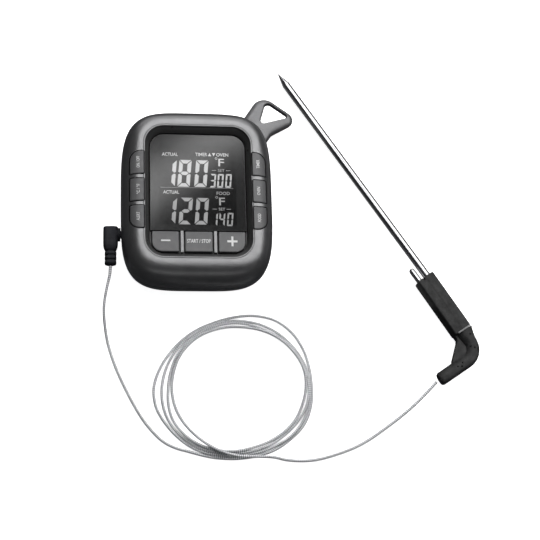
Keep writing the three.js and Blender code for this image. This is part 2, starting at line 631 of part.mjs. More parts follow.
function makeCoil() {
  const { x, y, flatten, low, chamfer } = COIL;
  const count = COIL_ROWS.length;
  const rings = COIL_ROWS.map(([inner, outer, high], i) => {
    const turn = 2 * Math.PI * i / count;
    return [
      [inner, low], [outer, low], [outer, high - chamfer], [outer - chamfer, high],
      [inner + chamfer, high], [inner, high - chamfer],
    ].map(([r, z]) =>
      new THREE.Vector3(x + r * Math.cos(turn), y + flatten * r * Math.sin(turn), z));
  });
  const size = rings[0].length;
  const index = [];
  for (let i = 0; i < count; i++) {
    const after = (i + 1) % count;
    for (let k = 0; k < size; k++) {
      const next = (k + 1) % size;
      const [a, b, c, d] = [i * size + k, after * size + k, after * size + next, i * size + next];
      index.push(a, b, c, a, c, d);
    }
  }
  const geometry = new THREE.BufferGeometry().setFromPoints(rings.flat());
  geometry.setIndex(index);
  return geometry;
}

function addCable(group) {
  addPiece(group, 'cable_lead', tube(LEAD_ROUTE, CABLE_RADIUS, 36, 8), steel());
  addPiece(group, 'cable_coil', makeCoil(), steel());
  addPiece(group, 'cable_tail', tube(TAIL_ROUTE, CABLE_RADIUS, 30, 8), steel());
}

// ---- probe --------------------------------------------------------------------------
// A thin closed-ended tube: a pointed or round nose, then a wall up to the open end.
const sensorTube = (nose, radius, bore, end, boreStart) => turned(
  [...nose, [radius, end], [bore, end], [bore, boreStart + bore], [0, boreStart]], 16, 'x');

function makeGrip() {
  const { start, end, halfWidth, side, halfDepth, lean } = GRIP;
  const profile = (low, high, half) => rectangle(low, -half, high, half, 1.2);
  const along = (shape, from, to) =>
    new THREE.ExtrudeGeometry(shape, { depth: to - from, bevelEnabled: false, curveSegments: 2 })
      .rotateX(Math.PI / 2).rotateZ(Math.PI / 2).translate(from - start, 0, 0)
      .applyMatrix4(new THREE.Matrix4().makeShear(-lean, 0, 0, 0, 0, 0)).translate(start, 0, 0);
  const main = along(profile(-halfWidth, halfWidth, halfDepth), start, end);
  const sideBody = along(profile(side, 0, halfDepth - 0.3), start + 0.2, end)
    .translate(0, 0, -0.3);
  const rodBore = rod(ROD.radius + 0.3, start - 1, ROD.end + 0.5, 14, 'x');
  const ovenBore = rod(OVEN_SENSOR.radius + 0.3, start - 1, OVEN_SENSOR.end + 0.5, 12, 'x')
    .translate(0, OVEN_SENSOR.y, 0);
  const chamber = box(ROD.end, -6.2, -1.8, end - 3, 1.6, 0.7);
  return solid(main).add(solid(sideBody)).subtract(solid(rodBore))
    .subtract(solid(ovenBore)).subtract(solid(chamber));
}

function makeElbow() {
  const { radius, bend, centre, end } = ELBOW;
  const start = GRIP.end + 0.3;
  const gripSide = GRIP.side - GRIP.lean * (GRIP.end - GRIP.start);
  const offset = -2.6; // the elbow leaves the grip on its cable side
  const turnStart = centre - bend;
  const path = new THREE.CurvePath();
  const at = (x, y) => new THREE.Vector3(x, y, 0);
  const corner = at(centre, offset);
  path.add(new THREE.LineCurve3(at(start, offset), at(turnStart, offset)));
  path.add(new THREE.QuadraticBezierCurve3(at(turnStart, offset), corner, at(centre, offset - bend)));
  path.add(new THREE.LineCurve3(at(centre, offset - bend), at(centre, end)));
  const section = new THREE.Shape();
  section.absarc(0, 0, radius, 0, 2 * Math.PI);
  const arm = new THREE.ExtrudeGeometry(section,
    { steps: 15, extrudePath: path, curveSegments: 6, bevelEnabled: false });
  const web = prism(roundedOutline([
    [start, -1], [start, gripSide], [start + 2.4, gripSide], [centre - 4.2, -15.9],
    [centre - 1, -17], [centre, offset - 2],
  ], 0), -2, 0.4);
  const entry = rod(1.5, end - 1, end + 4, 10, 'y').translate(centre, 0, 0);
  return solid(arm).add(solid(web)).subtract(solid(entry));
}

function addProbe(root) {
  const probe = new THREE.Group();
  probe.rotation.set(0, -THREE.MathUtils.degToRad(PROBE.tilt),
    THREE.MathUtils.degToRad(PROBE.heading), 'ZYX');
  probe.position.set(PROBE.tip[0], PROBE.tip[1], PROBE.axisAtTip);
  root.add(probe);

  const { radius, bore, cone, end } = ROD;
  addPiece(probe, 'probe_rod',
    sensorTube([[0, 0], [0.25, 0.1], [radius, cone]], radius, bore, end, cone + 1), steel());
  addPiece(probe, 'food_sensor_bead', rod(1.2, cone + 3.2, cone + 6.4, 10, 'x'), tin());
  addPiece(probe, 'food_sensor_lead', rod(0.45, cone + 6.8, 150, 8, 'x'), gold());
  const oven = OVEN_SENSOR;
  const shift = (geometry) => geometry.translate(0, oven.y, 0);
  const nose = [[0, oven.tip], [0.9, oven.tip + 0.4], [oven.radius, oven.tip + 1.5]];
  addPiece(probe, 'oven_sensor_tube',
    shift(sensorTube(nose, oven.radius, oven.bore, oven.end, oven.tip + 0.5)), steel());
  addPiece(probe, 'oven_sensor_bead', shift(rod(0.8, oven.tip + 2, oven.tip + 4, 10, 'x')), tin());
  addPiece(probe, 'oven_sensor_lead', shift(rod(0.4, oven.tip + 4.4, 150, 8, 'x')), gold());
  addPiece(probe, 'lead_splice', box(150.5, -5.9, -1.5, 158, 1.3, 0.4), blackPlastic());
  addPiece(probe, 'handle_grip', makeGrip(), blackRubber());
  addPiece(probe, 'handle_elbow', makeElbow(), blackRubber());
  const sleeve = turned([[1.2, ELBOW.end + 3.5], [1.2, ELBOW.end - 0.9], [1.05, ELBOW.end - 0.9],
    [1.05, ELBOW.end + 3.5], [1.2, ELBOW.end + 3.5]], 10, 'y').translate(ELBOW.centre, 0, 0);
  addPiece(probe, 'cable_ferrule', sleeve, steel());
}

// ---- assembly -----------------------------------------------------------------------
const thermometer = new THREE.Group();
const unit = new THREE.Group();
thermometer.add(unit);
addPiece(unit, 'front_shell', makeFrontShell(), shellGrey());
addPiece(unit, 'rear_shell', makeRearShell(), material(0x2b2d30, 0.5));
addPiece(unit, 'battery_door', makeBatteryDoor(), material(0x2b2d30, 0.5));
addButtons(unit);
addDisplay(unit);
addElectronics(unit);
addBatteries(unit);
addScrews(unit);
addPlug(thermometer);
addCable(thermometer);
addProbe(thermometer);

export default thermometer;
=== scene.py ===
"""The looks of a two-channel meat thermometer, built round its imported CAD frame.

Shapes are drawn in millimetres, in the CAD's frame, and settle() turns them into metres.
The probe's pieces are drawn along +X from the probe's tip, and PROBE places them.
"""
import json
import math

import bmesh
import bpy
import numpy as np
from mathutils import Matrix, Vector
from mathutils.bvhtree import BVHTree


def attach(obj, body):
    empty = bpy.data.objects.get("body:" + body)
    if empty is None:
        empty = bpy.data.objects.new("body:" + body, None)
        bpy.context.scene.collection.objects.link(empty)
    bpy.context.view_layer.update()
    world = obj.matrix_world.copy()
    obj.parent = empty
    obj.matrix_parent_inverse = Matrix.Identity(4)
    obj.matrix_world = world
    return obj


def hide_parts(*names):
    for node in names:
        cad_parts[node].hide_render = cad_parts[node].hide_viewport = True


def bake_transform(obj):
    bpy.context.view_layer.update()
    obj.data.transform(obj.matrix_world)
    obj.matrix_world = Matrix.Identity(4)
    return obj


MM = 0.001
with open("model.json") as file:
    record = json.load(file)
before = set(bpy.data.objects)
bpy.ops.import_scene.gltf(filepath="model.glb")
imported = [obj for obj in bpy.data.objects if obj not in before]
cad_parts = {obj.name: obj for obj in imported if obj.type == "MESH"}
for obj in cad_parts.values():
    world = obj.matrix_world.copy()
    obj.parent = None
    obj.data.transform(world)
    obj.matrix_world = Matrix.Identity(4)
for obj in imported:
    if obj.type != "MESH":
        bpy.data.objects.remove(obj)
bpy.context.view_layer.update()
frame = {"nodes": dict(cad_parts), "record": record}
scene = bpy.context.scene
scene.view_settings.view_transform = "Standard"

# ---- camera ----
camera_data = bpy.data.cameras.new("camera")
camera_data.lens, camera_data.sensor_width = 93.33, 36
camera = bpy.data.objects.new("camera", camera_data)
scene.collection.objects.link(camera)
CAMERA_RIGHT = Vector((0.99085881, -0.03065135, 0.13137472))
CAMERA_UP = Vector((-0.00972467, 0.9550831, 0.29617849))
CAMERA_BACK = Vector((-0.13455204, -0.29474864, 0.94605443))
turned = Matrix((CAMERA_RIGHT, CAMERA_UP, CAMERA_BACK)).transposed().to_4x4()
camera.matrix_world = Matrix.Translation((-0.057283, -0.239541, 0.667573)) @ turned
scene.camera = camera

# ---- cable route ----
CABLE = 1.5  # diameter
LEAD_ROUTE = [
    (-42.45, -33, 9), (-42.8, -37.5, 8.2), (-44.4, -45, 5.2), (-45.5, -53.7, 2.5),
    (-44.3, -65.9, .95), (-40.9, -78.4, .8), (-36.5, -89.3, .8), (-27.9, -105.7, .8),
    (-22.2, -113.4, .8), (-16.5, -118.8, .8), (-10.6, -121.8, .8), (-5.6, -123.2, .8),
]
TAIL_ROUTE = [
    (36.6, -126.7, .8), (42.5, -127.9, .8), (48.5, -128.4, .8), (55.5, -128.2, .8),
    (64.1, -126.4, .8), (79.2, -120.9, .8), (94.6, -111.2, 1.3), (107.5, -101.3, 3),
    (118.6, -90.5, 4.9),
]
COIL_CENTRE, COIL_FLATTEN = (18.4, -92.4), 0.93
# The distance of each turn from the coil's centre, every 15 degrees from 255 degrees on.
COIL_TURNS = [
    [38.1, 37.3, 37.2, 37.8, 38.1, 38.8, 38.5, 38.0, 38.6, 40.2, 41.8, 42.4,
     40.8, 38.4, 36.8, 36.3, 36.3, 36.8, 38.1, 39.6, 39.8, 38.8, 38.2, 37.9],
    [36.8, 36.0, 35.8, 36.2, 37.2, 37.5, 37.3, 37.1, 37.1, 37.0, 37.0, 37.1,
     36.9, 36.4, 35.7, 35.3, 35.0, 35.0, 35.2, 35.7, 36.4, 36.9, 36.8, 36.5],
    [35.6, 34.8, 34.5, 34.5, 34.6, 35.4, 36.2, 36.3, 36.0, 35.9, 35.6, 35.3,
     35.2, 34.9, 34.3, 33.9, 33.4, 33.0, 32.5, 32.6, 33.7, 35.0, 35.4, 35.3],
    [34.6, 33.8, 32.9, 32.9, 33.3, 33.9, 34.1, 34.7, 35.2, 35.0, 34.8, 34.3,
     33.6, 33.1, 32.6, 32.5, 32.2, 31.7, 31.1, 30.9, 30.9, 31.2, 32.0, 33.2],
]
COIL_ENTRY = (244.5, 39.1)
COIL_LEAVING = [(252, 34.4), (264, 35.8), (276, 37.0), (287, 38.3)]


def coil_point(degrees, reach):
    turn = math.radians(degrees)
    return (COIL_CENTRE[0] + reach * math.cos(turn),
            COIL_CENTRE[1] + COIL_FLATTEN * reach * math.sin(turn), CABLE / 2 + .05)


def smooth_line(points, step):
    """A centripetal Catmull-Rom line through the points, in even steps."""
    p = np.array(points, float)
    p = np.vstack([2 * p[0] - p[1], p, 2 * p[-1] - p[-2]])
    dense = []
    for i in range(1, len(p) - 2):
        p0, p1, p2, p3 = p[i - 1:i + 3]
        t1 = np.linalg.norm(p1 - p0) ** .5
        t2 = t1 + np.linalg.norm(p2 - p1) ** .5
        t3 = t2 + np.linalg.norm(p3 - p2) ** .5
        t = np.linspace(t1, t2, 24, endpoint=False)[:, None]
        a1 = (t1 - t) / t1 * p0 + t / t1 * p1
        a2 = (t2 - t) / (t2 - t1) * p1 + (t - t1) / (t2 - t1) * p2
        a3 = (t3 - t) / (t3 - t2) * p2 + (t - t2) / (t3 - t2) * p3
        b1 = (t2 - t) / t2 * a1 + t / t2 * a2
        b2 = (t3 - t) / (t3 - t1) * a2 + (t - t1) / (t3 - t1) * a3
        dense.append((t2 - t) / (t2 - t1) * b1 + (t - t1) / (t2 - t1) * b2)
    return even_line(np.vstack(dense + [p[-2][None]]), step)


def lengths(line):
    """The distance along a line to each of its points."""
    return np.r_[0, np.cumsum(np.linalg.norm(np.diff(line, axis=0), axis=1))]


def even_points(line, count, endpoint=True):
    along = lengths(line)
    at = np.linspace(0, along[-1], count, endpoint=endpoint)
    return np.stack([np.interp(at, along, values) for values in line.T], 1)


def even_line(line, step):
    return even_points(line, round(lengths(line)[-1] / step) + 1)


def unit(vectors):
    return vectors / np.linalg.norm(vectors, axis=1)[:, None]


def lay_on_itself(line, thick):
    """Lifts a line with 1 mm steps over its own earlier turns, in long low humps."""
    count, first_turn, reach = len(line), 40, 30
    order = np.arange(count)
    apart = np.linalg.norm(line[:, None, :2] - line[None, :, :2], axis=2)
    over, under = np.nonzero((apart < thick) & (order[None] < order[:, None] - first_turn))
    rise = np.sqrt(thick ** 2 - apart[over, under] ** 2)
    hump = 0.008 * np.arange(-reach, reach + 1) ** 2
    z = line[:, 2].copy()
    for _ in range(14):
        lifted = line[:, 2].copy()
        np.maximum.at(lifted, over, z[under] + rise)
        padded = np.pad(lifted, reach, mode="edge")
        z = np.max([padded[k:k + count] - drop for k, drop in enumerate(hump)], axis=0)
        z = np.maximum(z, line[:, 2])
    weight = np.exp(-.5 * (np.arange(-5, 6) / 1.8) ** 2)
    z = np.convolve(np.pad(z, 5, mode="edge"), weight / weight.sum(), "valid")
    return np.column_stack([line[:, :2], z])


turns = [coil_point(*COIL_ENTRY)]
for turn in COIL_TURNS:
    turns += [coil_point(255 + 15 * k, reach) for k, reach in enumerate(turn)]
turns += [coil_point(*leaving) for leaving in COIL_LEAVING]
cable_line = lay_on_itself(smooth_line(LEAD_ROUTE + turns + TAIL_ROUTE, 1.0), CABLE)

# ---- mesh helpers ----


def new_object(name, verts, faces):
    mesh = bpy.data.meshes.new(name)
    mesh.from_pydata([tuple(v) for v in verts], [], [tuple(f) for f in faces])
    mesh.update()
    obj = bpy.data.objects.new(name, mesh)
    scene.collection.objects.link(obj)
    return obj


def rounded(corners, radii, segments=8, longest=None):
    """A polygon, counter-clockwise, with a radius at each corner, as points."""
    count = len(corners)
    radii = radii if hasattr(radii, "__len__") else [radii] * count
    points = []
    for i in range(count):
        here = np.array(corners[i], float)
        before = np.array(corners[i - 1], float) - here
        after = np.array(corners[(i + 1) % count], float) - here
        before, after = before / np.linalg.norm(before), after / np.linalg.norm(after)
        if radii[i] <= 0:
            points.append(here)
            continue
        half = math.acos(max(-1, min(1, before @ after))) / 2
        enter = here + before * radii[i] / math.tan(half)
        leave = here + after * radii[i] / math.tan(half)
        middle = before + after
        centre = here + middle / np.linalg.norm(middle) * radii[i] / math.sin(half)
        a = math.atan2(*(enter - centre)[::-1])
        b = math.atan2(*(leave - centre)[::-1])
        sweep = (b - a + math.pi) % (2 * math.pi) - math.pi
        for k in range(segments + 1):
            angle = a + sweep * k / segments
            points.append(centre + radii[i] * np.array([math.cos(angle), math.sin(angle)]))
    points = np.array(points)
    if longest is None:
        return points
    dense = []
    for a, b in zip(points, np.roll(points, -1, axis=0)):
        parts = max(1, math.ceil(np.linalg.norm(b - a) / longest))
        dense += [a + (b - a) * k / parts for k in range(parts)]
    return np.array(dense)


def rectangle(left, bottom, right_, top, radii=0, segments=8, longest=None):
    corners = [(left, bottom), (right_, bottom), (right_, top), (left, top)]
    return rounded(corners, radii, segments, longest)


def inset(outline, by):
    """The outline moved inwards by that much; it is counter-clockwise."""
    before, after = np.roll(outline, 1, axis=0), np.roll(outline, -1, axis=0)
    normals = []
    for a, b in ((before, outline), (outline, after)):
        d = b - a
        n = np.stack([-d[:, 1], d[:, 0]], 1)
        normals.append(n / np.maximum(np.linalg.norm(n, axis=1), 1e-9)[:, None])
    middle = unit(normals[0] + normals[1])
    stretch = np.clip((middle * normals[0]).sum(1), .5, 1)
    return outline + middle * (by / stretch)[:, None]


def loft(name, rings, closed=False):
    """A skin over rings with the same number of points. Its ends are capped unless it
    is closed on itself."""
    rings = [np.asarray(r, float) for r in rings]
    n, m = len(rings[0]), len(rings)
    verts = np.vstack(rings)
    faces = []
    for r in range(m if closed else m - 1):
        a, b = r * n, (r + 1) % m * n
        faces += [(a + i, a + (i + 1) % n, b + (i + 1) % n, b + i) for i in range(n)]
    if not closed:
        faces.append(tuple(range(n))[::-1])
        faces.append(tuple(range((m - 1) * n, m * n)))
    obj = new_object(name, verts, faces)
    face_out(obj)
    return obj


def face_out(obj):
    work = bmesh.new()
    work.from_mesh(obj.data)
    bmesh.ops.recalc_face_normals(work, faces=work.faces)
    work.to_mesh(obj.data)
    work.free()


def with_z(outline, z):
    return np.column_stack([outline, np.full(len(outline), z) if np.isscalar(z) else z])


def quarter(steps):
    """The sine and cosine at even steps through a quarter turn."""
    angles = [math.pi / 2 * k / steps for k in range(steps + 1)]
    return [(math.sin(a), math.cos(a)) for a in angles]


def prism(name, outline, low, high, soft=0.0):
    """A prism; soft rounds its top and bottom edges."""
    if soft <= 0:
        return loft(name, [with_z(outline, low), with_z(outline, high)])
    rings = [with_z(inset(outline, soft * (1 - s)), low + soft * (1 - c)) for s, c in quarter(3)]
    rings += [with_z(inset(outline, soft * (1 - c)), high - soft * (1 - s)) for s, c in quarter(3)]
    # A narrow flat ring inside each cap keeps the shading of the flat faces flat.
    flat = inset(outline, soft + min(.04, soft * .1))
    return loft(name, [with_z(flat, low), *rings, with_z(flat, high)])


def box(name, low, high):
    return prism(name, rectangle(*low[:2], *high[:2]), low[2], high[2])


AXES = {"x": ((0, 1, 0), (0, 0, 1), (1, 0, 0)), "y": ((0, 0, 1), (1, 0, 0), (0, 1, 0)),
        "z": ((1, 0, 0), (0, 1, 0), (0, 0, 1))}


def revolve(name, profile, sides, axis="z", centre=(0, 0, 0), closed=False, squareness=2.0):
    """A turned shape; each profile point is (radius, distance along the axis). A
    squareness over 2 makes its section a rounded square."""
    u, v, w = (np.array(a, float) for a in AXES[axis])
    turn = np.linspace(0, 2 * math.pi, sides, endpoint=False) + math.pi / sides
    c, s = np.cos(turn), np.sin(turn)
    c, s = (np.sign(q) * np.abs(q) ** (2 / squareness) for q in (c, s))
    rings = [np.array(centre) + radius * (c[:, None] * u + s[:, None] * v) + along * w
             for radius, along in profile]
    return loft(name, rings, closed)


def cylinder(name, radius, low, high, sides, axis="z", centre=(0, 0, 0)):
    return revolve(name, [(.01, low), (radius, low), (radius, high), (.01, high)], sides, axis,
                   centre)


def combine(obj, tool, operation):
    """A Boolean operation, applied; the tool is used up."""
    modifier = obj.modifiers.new("combine", "BOOLEAN")
    modifier.operation, modifier.object, modifier.solver = operation, tool, "EXACT"
    made = bpy.data.meshes.new_from_object(
        obj.evaluated_get(bpy.context.evaluated_depsgraph_get()))
    obj.modifiers.clear()
    if not len(made.polygons):
        raise RuntimeError(f"{obj.name}: nothing is left after {operation} {tool.name}")
    obj.data = made
    bpy.data.objects.remove(tool)


def cut(obj, *tools):
    for tool in tools:
        combine(obj, tool, "DIFFERENCE")
    return obj


def join_solid(obj, *tools):
    for tool in tools:
        combine(obj, tool, "UNION")


def merge(name, objects):
    """Several meshes as one object; they may be separate bodies of one piece."""
    work = bmesh.new()
    for o in objects:
        work.from_mesh(o.data)
    mesh = bpy.data.meshes.new(name)
    work.to_mesh(mesh)
    work.free()
    for o in objects:
        bpy.data.objects.remove(o)
    made = bpy.data.objects.new(name, mesh)
    scene.collection.objects.link(made)
    return made


PROBE = (Matrix.Translation((44.9 * MM, 75.9 * MM, 1.98 * MM))
         @ Matrix.Rotation(math.radians(-56.9), 4, "Z")
         @ Matrix.Rotation(math.radians(-0.98), 4, "Y"))


def settle(obj, body, slot, look, *nodes, sharp=32, place=None):
    """Puts a finished piece on its body: metres, smooth shading and material."""
    obj.data.transform((place or Matrix()) @ Matrix.Scale(MM, 4))
    obj.data.polygons.foreach_set("use_smooth", [True] * len(obj.data.polygons))
    obj.data.set_sharp_from_angle(angle=math.radians(sharp))
    looks = look if isinstance(look, (list, tuple)) else [look]
    kept = [p.material_index for p in obj.data.polygons]
    obj.data.materials.clear()
    for one in looks:
        obj.data.materials.append(one)
    obj.data.polygons.foreach_set("material_index", [min(k, len(looks) - 1) for k in kept])
    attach(obj, body)
    if nodes:
        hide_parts(*nodes)
    return obj

# ---- materials ----


class Look:
    """A Principled material with short helpers for its node tree. Sizes are millimetres."""

    def __init__(self, name, roughness, metallic=0.0, **fixed):
        self.material = bpy.data.materials.new(name)
        self.material.use_nodes = True
        self.tree = self.material.node_tree
        self.shader = self.tree.nodes["Principled BSDF"]
        self.set("Roughness", roughness)
        self.set("Metallic", metallic)
        for socket, value in fixed.items():
            self.set(socket.replace("_", " "), value)
        self.place = self.node("ShaderNodeTexCoord").outputs["Object"]

    def set(self, socket, value):
        self.shader.inputs[socket].default_value = value

    def node(self, kind, **settings):
        made = self.tree.nodes.new(kind)
        for key, value in settings.items():
            setattr(made, key, value)
        return made

    def link(self, source, target):
        self.tree.links.new(source, target)

    def math(self, operation, a, b=0.0):
        made = self.node("ShaderNodeMath", operation=operation)
        for socket, value in zip(made.inputs, (a, b)):
            if isinstance(value, (int, float)):
                socket.default_value = value
            else:
                self.link(value, socket)
        return made.outputs[0]

    def noise(self, size, detail=3.0, stretch=None, turned=(0, 0, 0)):
        """Noise whose patches are about size mm; stretch scales the X, Y and Z sizes, and
        turned is how the stretched noise lies."""
        place = self.place
        if stretch:
            mapping = self.node("ShaderNodeMapping", vector_type="TEXTURE")
            mapping.inputs["Scale"].default_value = stretch
            mapping.inputs["Rotation"].default_value = turned
            self.link(place, mapping.inputs["Vector"])
            place = mapping.outputs[0]
        made = self.node("ShaderNodeTexNoise")
        made.inputs["Scale"].default_value = 1 / (size * MM)
        made.inputs["Detail"].default_value = detail
        self.link(place, made.inputs["Vector"])
        return made.outputs["Fac"]

    def spread(self, value, low, high, from_low=.3, from_high=.7):
        made = self.node("ShaderNodeMapRange")
        for socket, number in zip(list(made.inputs)[1:5], (from_low, from_high, low, high)):
            socket.default_value = number
        self.link(value, made.inputs[0])
        return made.outputs[0]

    def mix(self, factor, a, b):
        made = self.node("ShaderNodeMix", data_type="RGBA")
        sockets = (made.inputs[0], made.inputs[6], made.inputs[7])
        for socket, value in zip(sockets, (factor, a, b)):
            if isinstance(value, (int, float)):
                socket.default_value = value
            elif isinstance(value, (tuple, list)):
                socket.default_value = (*value, 1)
            else:
                self.link(value, socket)
        return made.outputs[2]

    def colour(self, source):
        if isinstance(source, tuple):
            self.set("Base Color", (*source, 1))
        else:
            self.link(source, self.shader.inputs["Base Color"])

    def rough(self, source):
        self.link(source, self.shader.inputs["Roughness"])

    def bump(self, height, depth, strength=1.0):
        made = self.node("ShaderNodeBump")
        made.inputs["Distance"].default_value = depth * MM
        made.inputs["Strength"].default_value = strength
        self.link(height, made.inputs["Height"])
        self.link(made.outputs[0], self.shader.inputs["Normal"])


def grey(value, tint=(1, 1, 1)):
    return tuple(value * t for t in tint)


def moulded(name, light, dark, roughness, grain=.35, relief=.02, metallic=0.0, swing=.07, **more):
    """Moulded plastic or rubber: fine grain, soft blotches and uneven shine."""
    look = Look(name, roughness, metallic, **more)
    fine, soft = look.noise(grain, 4), look.noise(9, 2)
    worn = look.noise(2.4, 5)
    speck = look.math("ADD", look.math("MULTIPLY", fine, .55), look.math("MULTIPLY", soft, .45))
    look.colour(look.mix(look.spread(speck, 0, 1, .35, .65), dark, light))
    look.rough(look.spread(worn, roughness - swing, roughness + swing, .3, .7))
    look.bump(fine, relief)
    return look.material


def metal(name, light, dark, roughness, streak=(40, 1, 1), turned=(0, 0, 0), swing=.06):
    """Metal with drawn streaks along X, or along a turned X, and faint stains."""
    look = Look(name, roughness, 1.0)
    streaks = look.noise(.12, 3, streak, turned=turned)
    stain = look.noise(7, 3)
    look.colour(look.mix(look.spread(stain, 0, 1), dark, light))
    both = look.math("ADD", look.math("MULTIPLY", streaks, .6), look.math("MULTIPLY", stain, .4))
    look.rough(look.spread(both, roughness - swing, roughness + swing, .35, .65))
    look.bump(streaks, .002, .6)
    return look.material


def braid_look():
    """Braided steel wire, with painted shade in the grooves between its wires. U is the way along in
    millimetres and V the way round.
    """
    look = Look("cable_braid", .4, .3)
    uv = look.node("ShaderNodeUVMap", uv_map="way")
    parts = look.node("ShaderNodeSeparateXYZ")
    look.link(uv.outputs[0], parts.inputs[0])
    along, round_ = parts.outputs[0], parts.outputs[1]
    waves = []
    for sign in (1, -1):
        turn = look.math("ADD", look.math("MULTIPLY", along, 2 * math.pi / BRAID_PITCH),
                         look.math("MULTIPLY", round_, sign * 2 * math.pi * BRAID_STRANDS))
        waves.append(look.math("SINE", turn))
    weave = look.math("MULTIPLY", waves[0], waves[1])
    wires = look.math("SINE", look.math("MULTIPLY", look.math(
        "ADD", look.math("MULTIPLY", along, 2 / BRAID_PITCH), look.math(
            "MULTIPLY", round_, 2.0 * BRAID_STRANDS)), 6 * math.pi))
    stain = look.noise(14, 3)
    # The grooves between the wires are painted dark as shade.
    groove_shade = look.spread(weave, 0, 1, -.5, .35)
    lit = look.mix(look.spread(stain, 0, 1), (.88, .89, .91), (.97, .98, .99))
    look.colour(look.mix(groove_shade, (.13, .13, .145), lit))
    look.rough(look.spread(look.noise(1.5, 3), .24, .42))
    relief = look.math("ADD", weave, look.math("MULTIPLY", wires, .15))
    look.bump(relief, .08)
    return look.material


BRAID_PITCH, BRAID_STRANDS = 2.04, 4

shell_grey = moulded("shell_grey", grey(.165, (1, 1, 1.01)), grey(.135, (1, 1, 1.02)), .34,
                     grain=.3, relief=.045, metallic=.82, swing=.05)
shell_dark = moulded("shell_dark", grey(.125, (1, 1, 1.02)), grey(.095, (1, 1, 1.03)), .38,
                     grain=.3, relief=.02, metallic=.7, swing=.05)
key_grey = moulded("key_grey", grey(.092, (1, 1, 1.02)), grey(.070, (1, 1, 1.03)), .5,
                   grain=.22, relief=.02, metallic=.2)
# The recess wall's near-black is painted shade in the recess of the grey shell.
tub_painted_shade = moulded("tub_painted_shade", grey(.036), grey(.026), .34, grain=.8, relief=.003)
plug_black = moulded("plug_black", grey(.015, (.95, 1, 1.3)), grey(.007, (.95, 1, 1.35)), .68,
                     grain=.4, relief=.04, Specular_IOR_Level=.22)
# The bead's pale grey is a painted highlight along the grip's parting line.
bead_painted_highlight = moulded("bead_painted_highlight", grey(.20), grey(.12), .6, grain=.7, relief=.03)
grip_black = moulded("grip_black", grey(.027), grey(.008), .66, grain=1.2, relief=.07, swing=.12,
                     Specular_IOR_Level=.3)
component_black = moulded("component_black", grey(.03), grey(.018), .5)
board_green = moulded("board_green", (.03, .16, .07), (.02, .11, .05), .38, grain=1.2)
diffuser_white = moulded("diffuser_white", grey(.84, (1, 1, .97)), grey(.76, (1, 1, .96)), .4)
zebra_grey = moulded("zebra_grey", grey(.30), grey(.10), .8, grain=.25, relief=.03)
battery_wrap = moulded("battery_wrap", (.07, .26, .16), (.05, .20, .12), .3, Coat_Weight=.4,
                       Coat_Roughness=.1)
wire_amber = moulded("wire_amber", (.55, .36, .12), (.45, .28, .09), .35)
polished = metal("probe_steel", grey(.40, (1, 1, 1.01)), grey(.32, (1, 1, 1.02)), .15,
                 turned=tuple(PROBE.to_euler()), swing=.04)
tin = metal("contact_tin", grey(.74), grey(.6), .32)
screw_steel = metal("screw_steel", grey(.55), grey(.42), .34, (6, 1, 1))
gold = metal("contact_gold", (.86, .64, .28), (.74, .53, .22), .25)
braid = braid_look()
white_ink = moulded("white_ink", grey(.62), grey(.52), .5, grain=.2, relief=.004)

# ---- cable ----


def frames_along(line):
    """Unit vectors along a line and two across it that don't twist."""
    along = unit(np.gradient(line, axis=0))
    side = np.zeros_like(line)
    side[0] = np.cross(along[0], (0, 0, 1))
    side[0] /= np.linalg.norm(side[0])
    for i in range(1, len(line)):
        s = side[i - 1] - (side[i - 1] @ along[i]) * along[i]
        side[i] = s / np.linalg.norm(s)
    return along, side, np.cross(along, side)


def make_cable():
    sides, step = 12, .255
    line = even_line(cable_line, step)
    _, across, up = frames_along(line)
    at = np.arange(len(line)) * step
    turn = np.linspace(0, 1, sides, endpoint=False)
    wave = [np.sin(2 * math.pi * (at[:, None] / BRAID_PITCH + s * BRAID_STRANDS * turn))
            for s in (1, -1)]
    radius = CABLE / 2 * (.92 + .08 * np.clip(wave[0] * wave[1] * 1.4, -1, 1))
    c, s = np.cos(2 * math.pi * turn), np.sin(2 * math.pi * turn)
    verts = line[:, None] + radius[..., None] * (
        c[None, :, None] * across[:, None] + s[None, :, None] * up[:, None])
    obj = loft("braided_cable", list(verts))
    uv = obj.data.uv_layers.new(name="way")
    values = np.zeros((len(obj.data.loops), 2))
    for polygon in obj.data.polygons:
        ids = [obj.data.loops[k].vertex_index for k in polygon.loop_indices]
        columns = [i % sides for i in ids]
        wraps = len(ids) == 4 and 0 in columns and sides - 1 in columns
        for k, vertex, column in zip(polygon.loop_indices, ids, columns):
            v = 1.0 if wraps and column == 0 else column / sides
            values[k] = (at[vertex // sides], v)
    uv.data.foreach_set("uv", values.ravel())
    obj.data.transform(Matrix.Scale(MM, 4))
    obj.data.polygons.foreach_set("use_smooth", [True] * len(obj.data.polygons))
    obj.data.materials.append(braid)
    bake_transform(obj)
    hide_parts("cable_lead", "cable_coil", "cable_tail")
    return obj


cable = make_cable()

# ---- plug ----
PLUG_X, JACK_Y, JACK_Z = -42.45, -16.9, 9


